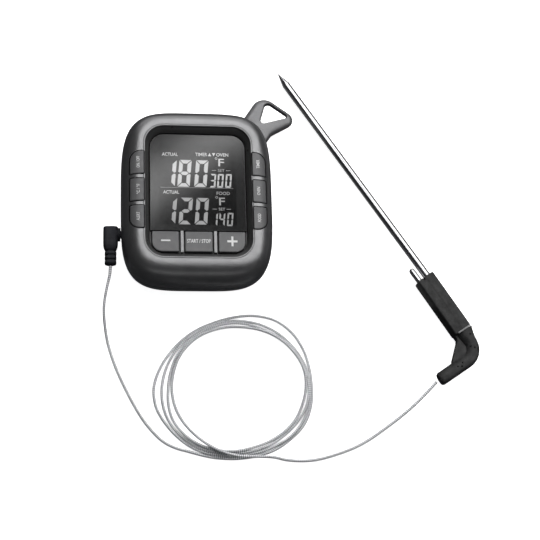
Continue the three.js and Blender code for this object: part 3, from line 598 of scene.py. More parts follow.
def make_plug():
    """A right-angle moulding: a rounded block, a collar to the socket, ribbed relief."""
    block = [(0.01, -13.4), (3.0, -13.4), (3.35, -13.47), (3.55, -13.62), (3.62, -13.95),
             (3.65, -14.8), (3.65, -20.6), (3.6, -22.4), (3.42, -23.4), (3.05, -24.4),
             (2.75, -25.1), (2.3, -25.45)]
    for rib in range(3):
        top = -25.75 - 2.3 * rib
        block += [(2.1, top + .05), (2.1, top - .35), (2.75, top - .5), (2.88, top - .75),
                  (2.88, top - 1.55), (2.75, top - 1.8), (2.1, top - 1.95)]
    block += [(2.05, -32.3), (1.85, -32.6), (1.0, -32.7), (0.8, -32.2), (0.8, -30.0), (0.01, -30)]
    body = revolve("plug_moulding", block, 64, "y", (PLUG_X, 0, JACK_Z), squareness=4.2)
    collar = [(0.01, -1), (3.4, -1), (3.4, 3.2), (3.3, 3.4), (3.1, 3.5), (3.1, 3.62),
              (3.38, 3.72), (3.38, 4.66), (3.28, 4.78), (1.9, 4.8), (1.9, 5.18), (0.01, 5.2)]
    collar = revolve("collar", collar, 48, "x", (PLUG_X, JACK_Y, JACK_Z))
    join_solid(body, collar)
    return settle(body, "plug", "plug_rubber", plug_black, "plug_body", sharp=38)


plug = make_plug()


def make_pin():
    sleeve = revolve("plug_pin_sleeve", [
        (.01, -37.8), (1.25, -37.8), (1.25, -31.3), (1.18, -31.2), (.01, -31.2)],
        32, "x", (0, JACK_Y, JACK_Z))
    settle(sleeve, "plug", "contact_gold", gold, "plug_sleeve")
    ring = cylinder("plug_pin_ring", 1.2, -31.1, -30.5, 32, "x", (0, JACK_Y, JACK_Z))
    settle(ring, "plug", "component_black", component_black, "plug_insulator")
    tip = revolve("plug_pin_tip", [
        (.01, -30.4), (1.18, -30.4), (1.25, -30.3), (1.25, -29.4), (1.1, -29.0), (.88, -28.6),
        (.95, -28.3), (1.22, -28), (1.2, -27.7), (.9, -27.25), (.4, -26.95), (.01, -26.9)],
        32, "x", (0, JACK_Y, JACK_Z))
    settle(tip, "plug", "contact_gold", gold, "plug_tip")
    return [sleeve, ring, tip]


pin = make_pin()

# ---- case ----
CASE = dict(half_width=37.6, half_height=45.3, power=4.26, seam=12, front=26)
PROFILE_POWER, BACK_EDGE = 2.44, 3.4
RIM = dict(half_width=25.95, half_height=33.8, radius=9.2, y=.85)
RECESS = dict(half_width=24.05, half_height=31.4, radius=7.5, y=1)
FLOOR = (18.9, 20.4)  # the underside and the top of the recess's floor
AROUND = 280


def case_outline(inset_by=0.0, scale=1.0):
    """The case's plan, a superellipse, at even steps round it."""
    t = np.linspace(0, 2 * math.pi, 6001)[:-1]
    c, s = np.cos(t), np.sin(t)
    power = 2 / CASE["power"]
    dense = np.stack([(CASE["half_width"] - inset_by) * np.sign(c) * np.abs(c) ** power,
                      (CASE["half_height"] - inset_by) * np.sign(s) * np.abs(s) ** power], 1)
    return even_points(np.vstack([dense, dense[:1]]), AROUND, endpoint=False) * scale


def rectangle_point(direction, half_width, half_height, radius, y, grow=0.0):
    """Where rays from the middle of a rounded rectangle leave it."""
    half_width, half_height, radius = half_width + grow, half_height + grow, radius + grow
    c, s = np.abs(np.cos(direction)), np.abs(np.sin(direction))
    reach = np.minimum(half_width / np.maximum(c, 1e-9), half_height / np.maximum(s, 1e-9))
    cx, cy = half_width - radius, half_height - radius
    corner = (c * reach > cx) & (s * reach > cy)
    along = c * cx + s * cy
    arc = along + np.sqrt(np.maximum(along ** 2 - cx ** 2 - cy ** 2 + radius ** 2, 0))
    reach = np.where(corner, arc, reach)
    return np.stack([reach * np.cos(direction), y + reach * np.sin(direction)], 1)


EDGE = case_outline()
DIRECTION = np.arctan2(EDGE[:, 1], EDGE[:, 0])


def rim_ring(z, grow=0.0, size=RIM):
    return with_z(rectangle_point(DIRECTION, grow=grow, **size), z)


def band_rings(steps, from_rim):
    """The front's outer surface, from the seam up to the rim."""
    inner = rectangle_point(DIRECTION, grow=from_rim, **RIM)
    rings = []
    for k in range(1, steps + 1):
        turn = k / steps * math.pi / 2
        out = 0 if k == steps else math.cos(turn) ** (2 / PROFILE_POWER)
        up = math.sin(turn) ** (2 / PROFILE_POWER)
        rings.append(with_z(inner + (EDGE - inner) * out,
                            CASE["seam"] + (CASE["front"] - CASE["seam"]) * up))
    return rings


def make_front_surface():
    low = CASE["seam"]
    rings = [with_z(EDGE, low)] + band_rings(30, .35)
    obj = loft("surface", rings)
    tree = BVHTree.FromPolygons([v.co for v in obj.data.vertices],
                                [tuple(p.vertices) for p in obj.data.polygons])
    bpy.data.objects.remove(obj)
    return tree


FRONT_SURFACE = make_front_surface()


def front_height(x, y):
    hit = FRONT_SURFACE.ray_cast(Vector((x, y, 60)), Vector((0, 0, -1)))[0]
    return hit.z if hit is not None else float(CASE["seam"])


LOWER_KEYS = {
    "minus": dict(left=-22.85, right_=-9.7, radii=[5, .5, .5, .5]),
    "start_stop": dict(left=-6.75, right_=6.75, radii=[.5, .5, .5, .5]),
    "plus": dict(left=9.7, right_=22.85, radii=[.5, 5, .5, .5]),
}
LOWER_Y = (-29.6, -19.25, 22.5)
SIDE_X = (26.75, 33.5)
SIDE_Y = [(9.2, 21.2), (-4.8, 6.8), (-18.8, -7.2)]
SIDE_NAMES = {-1: ["on_off", "units", "alert"], 1: ["timer", "oven", "food"]}


def side_outline(row, side, grow=0.0):
    bottom, top = SIDE_Y[row]
    small = .45 + grow
    radii = [small, 5 + grow if row == 2 else small, 5 + grow if row == 0 else small, small]
    outline = rectangle(SIDE_X[0] - grow, bottom - grow, SIDE_X[1] + grow, top + grow, radii,
                        longest=.8)
    if side < 0:
        outline = (outline * (-1, 1))[::-1]
    return outline


def lower_outline(key, grow=0.0):
    size = LOWER_KEYS[key]
    return rectangle(size["left"] - grow, LOWER_Y[0] - grow, size["right_"] + grow,
                     LOWER_Y[1] + grow, [r + grow for r in size["radii"]], longest=1.5)


SCREWS = [(-26.5, 33.5), (26.5, 33.5), (-29.4, -29), (29.4, -29)]


def make_front_shell():
    low = CASE["seam"] + .15
    rings = [with_z(case_outline(2), low), with_z(case_outline(.35), low),
             with_z(case_outline(.08), low + .08), with_z(EDGE, low + .35)]
    rings += [r for r in band_rings(34, 1.25) if r[:, 2].min() > low + .4]
    lip = [(1.12, 25.99), (1.02, 25.9), (.96, 25.86), (.88, 25.9), (.8, 25.98), (.7, 26),
           (.5, 26), (.32, 25.95), (.2, 25.83), (.14, 25.66), (.06, 25.35)]
    rings += [rim_ring(z, grow) for grow, z in lip]
    tub_start = len(rings) - 1
    rings += [rim_ring(z, g) for g, z in ((-.05, 25.0), (-.1, 24.9))]
    wall = rectangle_point(DIRECTION, **RECESS)
    rim = rectangle_point(DIRECTION, grow=-.1, **RIM)
    for part in (.15, .3, .45, .6, .75, .88, .96):
        down = part ** 1.25
        rings.append(with_z(rim + (wall - rim) * part, 24.9 - (24.9 - 21.7) * down))
    rings += [with_z(wall, 21.3), with_z(wall, FLOOR[1] + .3)]
    rings.append(rim_ring(FLOOR[1], -.3, RECESS))
    obj = loft("front_housing", rings)
    # The recess wall from the lip down gets the painted shade material.
    for polygon in obj.data.polygons[tub_start * AROUND:]:
        polygon.material_index = 1
    obj.data.polygons[len(obj.data.polygons) - 2].material_index = 0
    ceiling = [with_z(case_outline(2), low - 1), with_z(case_outline(2.2), 16),
               with_z(case_outline(3.4), FLOOR[0] - .3), with_z(case_outline(5), FLOOR[0])]
    tools = [loft("hollow", ceiling),
             prism("window", rectangle(-20.6, -16.4, 20.6, 27.4), FLOOR[0] - 1, FLOOR[1] + 1)]
    tools += [prism("slot", lower_outline(key, .55), FLOOR[0] - 1, FLOOR[1] + 1)
              for key in LOWER_KEYS]
    tools += [prism("slot", side_outline(row, side, .42), FLOOR[0] - 1, CASE["front"] + 1)
              for side in (-1, 1) for row in range(3)]
    cut(obj, *tools)
    ribs = [prism("rib", rectangle(x - .8, -30.1, x + .8, -18.95, .2, 2), FLOOR[1] - .5, 22.65, .2)
            for x in (-8.15, 8.15)]
    join_solid(obj, *ribs)
    settle(obj, "unit", "case_grey", [shell_grey, tub_painted_shade], "front_shell", sharp=35)


make_front_shell()


# ---- keys ----


INK = .05  # thickness of printed signs


def heights_at(ring, top):
    return np.array([top(x, y) for x, y in ring])


def pad(name, outline, top, low, soft, dish=0.0):
    """A key cap: a wall, a rounded edge, and a top that follows the function top."""
    rings = [with_z(outline, low)]
    for s, c in quarter(4):
        ring = inset(outline, soft * (1 - c))
        rings.append(with_z(ring, heights_at(ring, top) - soft * (1 - s)))
    edge = inset(outline, soft)
    middle = edge.mean(0)
    for part in (.06, .14, .25, .4, .58, .78, .94):
        ring = edge + (middle - edge) * part
        rings.append(with_z(ring, heights_at(ring, top) - dish * min(1, part * 4)))
    return loft(name, rings)


def lettering(words, width, height, centre, turn=0.0, bold=0.0):
    """Words as a thin solid, sized to a box and turned by so many degrees."""
    curve = bpy.data.curves.new("words", "FONT")
    curve.body, curve.size, curve.extrude, curve.offset = words, 1.0, .05, bold
    curve.resolution_u = 3
    temporary = bpy.data.objects.new("words", curve)
    scene.collection.objects.link(temporary)
    mesh = bpy.data.meshes.new_from_object(
        temporary.evaluated_get(bpy.context.evaluated_depsgraph_get()))
    co = np.array([v.co for v in mesh.vertices])
    faces = [tuple(p.vertices) for p in mesh.polygons]
    bpy.data.objects.remove(temporary)
    bpy.data.curves.remove(curve)
    low, high = co.min(0), co.max(0)
    co = (co - (low + high) / 2) / (high - low) * (width, height, INK)
    a = math.radians(turn)
    x = co[:, 0] * math.cos(a) - co[:, 1] * math.sin(a) + centre[0]
    y = co[:, 0] * math.sin(a) + co[:, 1] * math.cos(a) + centre[1]
    return new_object("words", np.column_stack([x, y, co[:, 2] + INK / 2]), faces)


def lift_onto(obj, top, above):
    for vertex in obj.data.vertices:
        vertex.co.z += top(vertex.co.x, vertex.co.y) + above
    return obj


def flat_bar(low, high):
    """A thin rectangle with divided long sides, so that it can follow a curved face."""
    return prism("bar", rectangle(*low, *high, 0, 1, .5), 0, INK)


def finish_cap(name, cap, plate, middle, stem_top):
    """One key: its cap, the plate that keeps it in, and the stem over its switch."""
    stem = cylinder("stem", 1.5, 17.5, stem_top, 24, "z", (*middle, 0))
    cap = merge(f"{name}_cap", [cap, plate, stem])
    settle(cap, f"{name}_key", "button_grey", key_grey, f"{name}_button", sharp=40)


def make_lower_key(key):
    outline = lower_outline(key)
    top = lambda x, y: LOWER_Y[2]
    cap = pad("cap", outline, top, 18.0, .42, .06)
    size = LOWER_KEYS[key]
    middle = ((size["left"] + size["right_"]) / 2, sum(LOWER_Y[:2]) / 2)
    plate = prism("plate", rectangle(size["left"] - .5, LOWER_Y[0] - .5, size["right_"] + .5,
                                     LOWER_Y[1] + .5, 1), 17.85, 18.6)
    finish_cap(key, cap, plate, middle, 18)
    if key == "minus":
        signs = [flat_bar((-18.4, -24.35), (-13.9, -23.6))]
    elif key == "plus":
        signs = [flat_bar((13.9, -24.6), (18.9, -23.6)), flat_bar((15.9, -26.6), (16.9, -24.6)),
                 flat_bar((15.9, -23.6), (16.9, -21.6))]
    else:
        signs = [lettering("START / STOP", 11.6, 1.9, (0, -24.1), bold=.012)]
    sign = merge(f"{key}_sign", [lift_onto(s, lambda x, y: LOWER_Y[2] - .06, .005) for s in signs])
    settle(sign, f"{key}_key", "button_grey", white_ink)


for key in LOWER_KEYS:
    make_lower_key(key)

SIDE_WORDS = {"on_off": ("ON / OFF", 6.0), "units": ("°C / °F", 5.2), "alert": ("ALERT", 4.4),
              "timer": ("TIMER", 4.6), "oven": ("OVEN", 4.2), "food": ("FOOD", 4.2)}


def make_side_key(row, side, name):
    outline = side_outline(row, side)
    top = lambda x, y: front_height(x, y) + .45
    cap = pad("cap", outline, top, 18.5, .4)
    bottom, upper = SIDE_Y[row]
    near, far = sorted((side * (SIDE_X[0] - .5), side * (SIDE_X[1] - .7)))
    plate = prism("plate", rectangle(near, bottom - .6, far, upper + .6, .5), 18.3, 19.1)
    middle_y = (bottom + upper) / 2
    finish_cap(name, cap, plate, (side * sum(SIDE_X) / 2, middle_y), 18.6)
    words, long = SIDE_WORDS[name]
    sign = lettering(words, long, 1.6, (side * 29.6, middle_y), turn=90, bold=.01)
    sign.name = f"{name}_sign"
    lift_onto(sign, top, .0)
    settle(sign, f"{name}_key", "button_grey", white_ink)


for side, names in SIDE_NAMES.items():
    for row, name in enumerate(names):
        make_side_key(row, side, name)

# ---- display ----
LENS_TOP = 22
# The dark field that the figures stand on: left, bottom, right, top.
FIELD = (-19.4, -15.6, 18.9, 26.0)
LENS = rectangle(-23.75, -18.85, 23.75, 32, [.6, .6, 7.2, 7.2], 10)


def make_lens():
    lens = prism("display_window", LENS, 20.6, LENS_TOP, .35)
    settle(lens, "unit", "lens_black", lens_black, "display_lens")
    field = prism("display_field", rectangle(*FIELD, .3, 3, 2.0), LENS_TOP - .1, LENS_TOP + .005)
    settle(field, "unit", "lens_black", field_black)
    panel = box("display_panel", (-21.5, -16.9, 17.3), (21.5, 28.6, 18.66))
    settle(panel, "unit", "lcd_dark", panel_dark, "lcd_panel")


# The figures are drawn at the panel's depth; this brings them up to the window's face.
FIGURE_SCALE, FIGURE_SHIFT = .99485, (-.175, -.745)
FIGURE_LEAN = 5  # degrees
SEGMENT_THICK = .03


SEGMENTS = {"0": "abcdef", "1": "bc", "2": "abged", "3": "abgcd", "4": "fgbc", "8": "abcdefg"}


def figure(digit, left, bottom, width, height, thick):
    """One italic seven-segment figure: mitred bars with gaps between them."""
    gap, t = thick * .13, thick
    mid = height / 2
    bars = {
        "a": [(gap, height), (width - gap, height), (width - t - gap, height - t),
              (t + gap, height - t)],
        "d": [(t + gap, t), (width - t - gap, t), (width - gap, 0), (gap, 0)],
        "g": [(t * .45 + gap, mid), (t + gap, mid + t * .48), (width - t - gap, mid + t * .48),
              (width - t * .45 - gap, mid), (width - t - gap, mid - t * .48),
              (t + gap, mid - t * .48)],
        "b": [(width, height - gap * 1.4), (width, mid + t * .22 + gap), (width - t * .42, mid + gap),
              (width - t, mid + t * .5 + gap), (width - t, height - t - gap * 1.4)],
        "c": [(width, gap * 1.4), (width - t, t + gap * 1.4), (width - t, mid - t * .5 - gap),
              (width - t * .42, mid - gap), (width, mid - t * .22 - gap)],
    }
    bars["f"] = [(width - x, y) for x, y in bars["b"]]
    bars["e"] = [(width - x, y) for x, y in bars["c"]]
    made = []
    for name in SEGMENTS[digit]:
        points = np.array(bars[name], float)
        area = np.cross(points, np.roll(points, -1, axis=0)).sum()
        if area < 0:
            points = points[::-1]
        points[:, 0] += points[:, 1] * math.tan(math.radians(FIGURE_LEAN)) + left
        points[:, 1] += bottom
        made.append(prism("bar", points, 0, SEGMENT_THICK))
    return made


def figures(text, lefts, bottom, width, height, thick):
    made = []
    for digit, left in zip(text, lefts):
        made += figure(digit, left, bottom, width, height, thick)
    return made


def triangle(x, y, half, high):
    return prism("arrow", np.array([(x - half, y - high), (x + half, y - high), (x, y + high)]
                                   if high > 0 else
                                   [(x - half, y - high), (x, y + high), (x + half, y - high)]),
                 0, SEGMENT_THICK)


def degree_sign(x, y):
    outer, inner = .62, .40
    return revolve("ring", [(outer, 0), (outer, SEGMENT_THICK), (inner, SEGMENT_THICK), (inner, 0)],
                   24, "z", (x, y, 0), closed=True)


def dash(left, bottom, right_, top):
    return prism("dash", rectangle(left, bottom, right_, top), 0, SEGMENT_THICK)


def make_figures():
    upper = figures("180", (-17.5, -10.1, -1.75), 4.9, 6.15, 14.2, 1.9)
    upper += figures("300", (5.85, 9.65, 13.65), 4.75, 2.95, 7.2, .82)
    lower = figures("120", (-17.5, -9.7, -1.75), -14.8, 6.15, 13.9, 1.9)
    lower += figures("140", (6.45, 10.1, 14.1), -15.4, 2.9, 6.9, .8)
    bright = [
        lettering("ACTUAL", 7.9, 1.75, (-13.6, 22.0), bold=.014),
        lettering("TIMER", 5.9, 1.75, (2.1, 22.2), bold=.014),
        triangle(6.25, 22.2, .85, .85), triangle(8.25, 22.2, .85, -.85),
        lettering("OVEN", 6.1, 1.75, (12.6, 22.2), bold=.02),
        degree_sign(9.5, 20.2), lettering("F", 2.9, 4.0, (12.0, 18.1), bold=.01),
        lettering("ACTUAL", 7.9, 1.75, (-13.15, 2.0), bold=.014),
    ]
    lower += [
        lettering("SET", 3.3, 1.5, (11.9, 13.8), bold=.01),
        dash(7.2, 13.7, 9.4, 13.95),
        dash(14.3, 13.7, 16.5, 13.95),
        dash(-18.5, 4.35, 17.8, 4.5),
        lettering("FOOD", 6.6, 1.75, (12.7, 1.7), bold=.01),
        degree_sign(9.37, -.45), lettering("F", 2.9, 4.0, (12.0, -2.6), bold=.01),
        lettering("SET", 3.2, 1.45, (11.9, -6.6), bold=.01),
        dash(7.2, -6.75, 9.4, -6.5),
        dash(14.2, -6.75, 16.4, -6.5),
    ]
    for name, parts, look in (("figures_upper", upper, lit_upper),
                              ("figures_lower", lower, lit_lower),
                              ("display_words", bright, lit_words)):
        piece = merge(name, parts)
        piece.data.transform(Matrix.Translation((*FIGURE_SHIFT, LENS_TOP + .006))
                             @ Matrix.Diagonal((FIGURE_SCALE, FIGURE_SCALE, 1, 1)))
        settle(piece, "unit", "lcd_dark", look)


def glowing(name, pigment, glow):
    """A lit display segment: pale, with a slightly uneven glow of its own."""
    look = Look(name, .12)
    patches = look.spread(look.noise(11, 2), 0, 1)
    look.colour(look.mix(patches, grey(.9 * pigment), grey(pigment, (1, 1, 1.01))))
    look.link(look.mix(patches, grey(.85), grey(1)), look.shader.inputs["Emission Color"])
    look.set("Emission Strength", glow)
    return look.material


lit_upper = glowing("lit_upper", .34, .22)
lit_lower = glowing("lit_lower", .22, .12)
lit_words = glowing("lit_words", .36, .24)
lens_black = moulded("lens_black", grey(.013), grey(.010), .105, grain=6, relief=.0005, swing=.01)
field_black = moulded("field_black", grey(.0016), grey(.0010), .105, grain=6, relief=.0005,
                      swing=.01)
panel_dark = moulded("panel_dark", grey(.003), grey(.002), .6, grain=2, relief=.002,
                     Specular_IOR_Level=0.0)

make_lens()
make_figures()

# ---- rear shell, battery door and screws ----
EYELET = (3.4, 7.4)  # its back and its front
REAR_STEPS = 14
DOOR = dict(half_width=25.1, flare=.8, top=-15, low=.3, high=1.7)
WELL = (24.6, -39.2, -16.4, 13.1)  # the cells' room: half width, bottom, top, ceiling


def rear_rings(high):
    """The back's outer surface, from its flat up to the seam."""
    rings = []
    for k in range(REAR_STEPS + 1):
        turn = (1 - k / REAR_STEPS) * math.pi / 2
        scale = 1 - BACK_EDGE / CASE["half_width"] * (1 - math.cos(turn))
        rings.append(with_z(case_outline(scale=scale), high * (1 - math.sin(turn))))
    return rings


def make_eyelet():
    """The hanging loop: a crowned neck that runs out into a ring with a round section."""
    low, high = EYELET
    middle, half = (low + high) / 2, (high - low) / 2
    outline = rounded([(18.8, 37.6), (31, 26), (39.7, 39), (55, 47.5), (34.7, 62.1)],
                      [4.3, 4.3, 5, 4.5, 7], 14, 1.2)
    rings = []
    for k in range(-12, 13):
        turn = math.pi / 2 * k / 12
        reach = 4.0 if k > 0 else 1.4  # the top is crowned and the back is nearly flat
        rings.append(with_z(inset(outline, reach * (1 - math.cos(turn))),
                            middle + half * math.sin(turn)))
    hole = rounded([(33.7, 45.1), (49.1, 49.3), (37.4, 57.7)], [1.5, 1.1, 2.2], 12)
    flare = [with_z(inset(hole, -1.2), low - .6)]
    for k in range(13):
        turn = math.pi * (k / 12 - .5)
        flare.append(with_z(inset(hole, -.8 * (1 - math.cos(turn))), middle + half * math.sin(turn)))
    flare.append(with_z(inset(hole, -1.2), high + .6))
    return cut(loft("eyelet", rings), loft("hole", flare))


def dovetail(name, clearance, top, bottom, low, high):
    half = DOOR["half_width"] + clearance
    rise = DOOR["flare"] / (DOOR["high"] - DOOR["low"])
    wide = [half + rise * (z - DOOR["low"]) for z in (low, high)]
    ring = lambda y: [(-wide[0], y, low), (wide[0], y, low), (wide[1], y, high),
                      (-wide[1], y, high)]
    return loft(name, [ring(bottom), ring(top)])


def make_rear_shell():
    high = CASE["seam"] - .15
    rings = rear_rings(high)
    rings[-1] = with_z(EDGE, high - .3)
    rings += [with_z(case_outline(.08), high - .05), with_z(case_outline(.3), high)]
    obj = loft("rear_housing", rings)
    join_solid(obj, make_eyelet())
    half, bottom, top, ceiling = WELL
    cut(obj, loft("hollow", [with_z(case_outline(inner), z)
                             for inner, z in ((5, 2), (2.6, 5), (2, 8), (2, 13))]))
    well = prism("well", rectangle(-half - 1.2, bottom - 1.2, half + 1.2, top + 1.2, 3), 1, 13.9)
    join_solid(obj, well)
    seat = box("seat", (-half - 3, -43, 1), (half + 3, top + 3, 3.4))
    body = loft("body", rear_rings(high))
    combine(seat, body, "INTERSECT")
    join_solid(obj, seat)
    bosses = [cylinder("boss", 3.5, 1, high, 32, "z", (x, y, 0)) for x, y in SCREWS]
    join_solid(obj, *bosses)
    tools = [
        box("well", (-half, bottom, -1), (half, top, ceiling)),
        dovetail("track", .3, DOOR["top"] + .3, -50.3, -1, DOOR["high"] + .2),
        cylinder("jack", 2.4, -39.2, -35.3, 40, "x", (0, JACK_Y, JACK_Z)),
        box("jack_room", (-35.5, JACK_Y - 3.5, JACK_Z - 3.4), (-25.7, JACK_Y + 3.5, 13)),
    ]
    tools += [revolve("sink", [(.01, -1), (3.0, -1), (2.7, .25), (2.7, 2.4), (1.55, 2.4),
                               (1.55, 13), (.01, 13)], 36, "z", (x, y, 0)) for x, y in SCREWS]
    tools += [prism("slot", rectangle(-19, y, -9, y + 1.1, .5, 5), -1, 3)
              for y in (22.5, 25.5, 28.5)]
    cut(obj, *tools)
    settle(obj, "unit", "case_dark", shell_dark, "rear_shell", sharp=35)


make_rear_shell()


def make_door():
    door = dovetail("door_panel", 0, DOOR["top"], -CASE["half_height"], DOOR["low"], DOOR["high"])
    body = loft("body", rear_rings(CASE["seam"]))
    combine(door, body, "INTERSECT")
    grips = [prism("grip", rectangle(-7 + 1.1 * k, -24.6 - 1.6 * k, 7 - 1.1 * k, -23.9 - 1.6 * k, .3, 4),
                   -.5, DOOR["low"] + .4) for k in range(4)]
    arrow = prism("arrow", np.array([(-2, -32.5), (0, -34.6), (2, -32.5)]), -.5, DOOR["low"] + .3)
    cut(door, *grips, arrow)
    settle(door, "door", "case_dark", shell_dark, "battery_door")


make_door()


def make_screw(number, x, y):
    screw = revolve(f"screw_{number}", [
        (.01, .8), (1.5, .8), (1.95, .9), (2.2, 1.12), (2.3, 1.4), (2.3, 2.1), (1.25, 2.15),
        (1.25, 15.4), (.25, 16.5), (.01, 16.5)], 40, "z", (x, y, 0))
    for width, depth in ((2.5, .62), (.62, 2.5)):
        slot = box("slot", (x - width / 2, y - depth / 2, 0), (x + width / 2, y + depth / 2, 1.7))
        slot.data.transform(Matrix.Translation((x, y, 0))
                            @ Matrix.Rotation(.4 * number, 4, "Z")
                            @ Matrix.Translation((-x, -y, 0)))
        cut(screw, slot)
    settle(screw, "unit", "screw_steel", screw_steel, f"case_screw_{number}")


for number, (x, y) in enumerate(SCREWS, 1):
    make_screw(number, x, y)

# ---- probe ----
GRIP = dict(start=132.8, end=166.0, half_width=2.75, side=-6.9, half_depth=4.2, lean=.019)
GRIP_SIDE_END = GRIP["side"] - GRIP["lean"] * (GRIP["end"] - GRIP["start"])
ELBOW_X, ELBOW_END = 179.6, -27
AIR_PROBE_Y = -4.95


def make_rod():
    profile = [(.01, 0), (.1, .05), (.22, .25), (1.9, 6.9), (2.0, 7.3), (2.05, 7.9),
               (2.05, 40), (2.05, 80), (2.05, 138), (1.6, 138), (1.6, 10.1), (.01, 8.5)]
    rod = revolve("probe_spike", profile, 72, "x")
    settle(rod, "unit", "probe_steel", polished, "probe_rod", place=PROBE, sharp=25)
    y, start = AIR_PROBE_Y, 125.2
    profile = [(.01, start), (.5, start + .06), (.95, start + .3), (1.28, start + .75),
               (1.45, start + 1.3), (1.5, start + 1.9), (1.5, 138), (1.15, 138),
               (1.15, start + 1.8), (.01, start + .6)]
    tube = revolve("air_probe", profile, 56, "x", (0, y, 0))
    settle(tube, "unit", "probe_steel", polished, "oven_sensor_tube", place=PROBE, sharp=25)


make_rod()


def along_x(name, low, high, start, end, soft):
    """A block along X with a rounded section from (y, z) low to high."""
    section = rectangle(*low, *high, soft, 5)
    rings = []
    for x, by in ((start, soft * .6), (start + soft * .18, soft * .25), (start + soft * .6, 0),
                  (end - soft * .6, 0), (end - soft * .18, soft * .25), (end, soft * .6)):
        ring = inset(section, by)
        rings.append(np.column_stack([np.full(len(ring), x), ring]))
    return loft(name, rings)


def make_grip():
    start, end, depth = GRIP["start"], GRIP["end"], GRIP["half_depth"]
    main = along_x("grip_moulding", (-GRIP["half_width"], -depth), (GRIP["half_width"], depth),
                   start, end, .9)
    side = along_x("side", (GRIP["side"], -depth + .05), (0, depth - .15), start + .2, end, .8)
    join_solid(main, side)
    for vertex in main.data.vertices:
        vertex.co.y -= GRIP["lean"] * (vertex.co.x - start)
    tools = [
        cylinder("bore", 2.3, start - 1, 138.5, 40, "x"),
        cylinder("bore", 1.75, start - 1, 138.5, 32, "x", (0, AIR_PROBE_Y, 0)),
        box("chamber", (137, -6.2, -1.8), (end - 3, 1.6, .7)),
        box("notch", (start - 1, -3.9, 1.2), (start + 1.6, -2.9, 5)),
    ]
    cut(main, *tools)
    settle(main, "unit", "handle_rubber", grip_black, "handle_grip", place=PROBE, sharp=30)


make_grip()


def make_bead():
    """The raised parting line between the grip and the elbow, coloured pale as a painted highlight."""
    end, top = GRIP["end"], GRIP["half_depth"]
    bead = along_x("grip_bead", (-5.9, top - .5), (1.6, top + .04), end - .5, end + .3, .12)
    settle(bead, "unit", "handle_rubber", bead_painted_highlight, place=PROBE)


make_bead()


def elbow_line():
    """The middle of the elbow's arm: out of the grip, round a bend, down to the cable."""
    start, offset = GRIP["end"] + .3, -2.6
    bend = 7.2
    points = [(start, offset)]
    points += [(x, offset) for x in np.linspace(start + .6, ELBOW_X - bend, 12)]
    centre = (ELBOW_X - bend, offset - bend)
    points += [(centre[0] + bend * math.sin(a), centre[1] + bend * math.cos(a))
               for a in np.linspace(.12, math.pi / 2, 14)]
    points += [(ELBOW_X, y) for y in np.linspace(centre[1] - .8, ELBOW_END, 18)]
    return np.array(points)


def make_elbow():
    line = elbow_line()
    heading = unit(np.gradient(line, axis=0))
    out = np.stack([-heading[:, 1], heading[:, 0]], 1)
    length = lengths(line)
    turn = np.linspace(0, 2 * math.pi, 56, endpoint=False)
    # The outer half is nearly square; the half inside the bend slopes down to the web.
    power = np.where(np.cos(turn) > 0, 2 / 3.4, 2 / 1.7)
    section = np.stack([np.sign(f(turn)) * np.abs(f(turn)) ** power for f in (np.cos, np.sin)], 1)
    rings = []
    for point, side, at in zip(line, out, length):
        left = length[-1] - at
        shoulder = max(0.0, 1 - at / 7.5) ** 1.6
        wide_out = 3.4 + 2.3 * shoulder  # the outside starts as wide as the grip
        wide_in = 3.4 + .6 * shoulder
        high = 3.35 + .45 * shoulder
        edge = math.sqrt(max(0, 1 - max(0, 1 - left / .4) ** 2)) * .12 + .88
        across = np.where(section[:, 0] > 0, section[:, 0] * wide_out, section[:, 0] * wide_in)
        ring = np.column_stack([
            point[0] + side[0] * across * edge, point[1] + side[1] * across * edge,
            section[:, 1] * high * edge])
        rings.append(ring)
    arm = loft("elbow_moulding", rings)
    web_start = GRIP["end"] + .05
    web = prism("web", rounded([
        (web_start, -3), (web_start, GRIP_SIDE_END), (168.4, GRIP_SIDE_END),
        (175.3, -15.9), (177.6, -17.6), (179.0, -16), (177.5, -4)], .18, 4), -2.4, .9, .12)
    join_solid(arm, web)
    rib = prism("rib", rounded([(web_start, -6.3), (web_start, GRIP_SIDE_END),
                                (168.2, GRIP_SIDE_END), (169.4, -9.0), (168.5, -6.7)], .18, 4),
                -2.8, 1.7, .12)
    join_solid(arm, rib)
    cut(arm, revolve("entry", [(.01, ELBOW_END - 1), (1.5, ELBOW_END - 1), (1.45, ELBOW_END + .4),
                               (1.35, ELBOW_END + 4), (.01, ELBOW_END + 4)], 28, "y",
                     (ELBOW_X, 0, 0)))
    pits = [(169.6, -1.0), (174.8, -4.5), (176.3, -3.2), (177.7, -2.0), (179.1, -13.2),
            (180.5, -14.6), (179.4, -16.4)]
    cut(arm, *[revolve("pit", [(.01, 2.0), (.42, 2.0), (.48, 4.6), (.01, 4.6)], 14, "z", (x, y, 0))
               for x, y in pits])
    settle(arm, "unit", "handle_rubber", grip_black, "handle_elbow", place=PROBE, sharp=34)
    sleeve = revolve("cable_sleeve", [
        (.98, -27.05), (1.08, -27.1), (1.2, -26.95), (1.2, -23.5), (1.05, -23.5), (.95, -26.8)],
        36, "y", (ELBOW_X, 0, 0), closed=True)
    settle(sleeve, "unit", "probe_steel", polished, "cable_ferrule", place=PROBE)


make_elbow()

# ---- CAD nodes that stay, with their own finishes ----
SLOT_LOOKS = {
    "component_black": component_black, "diffuser_white": diffuser_white,
    "board_green": board_green, "zebra_rubber": zebra_grey, "battery_wrap": battery_wrap,
    "contact_tin": tin, "lead_wire": wire_amber,
}
slot_of = {part["node"]: part["material_slot"] for part in frame["record"]["subparts"]}
for name, node in frame["nodes"].items():
    if not node.hide_render:
        node.data.materials.clear()
        node.data.materials.append(SLOT_LOOKS[slot_of[name]])

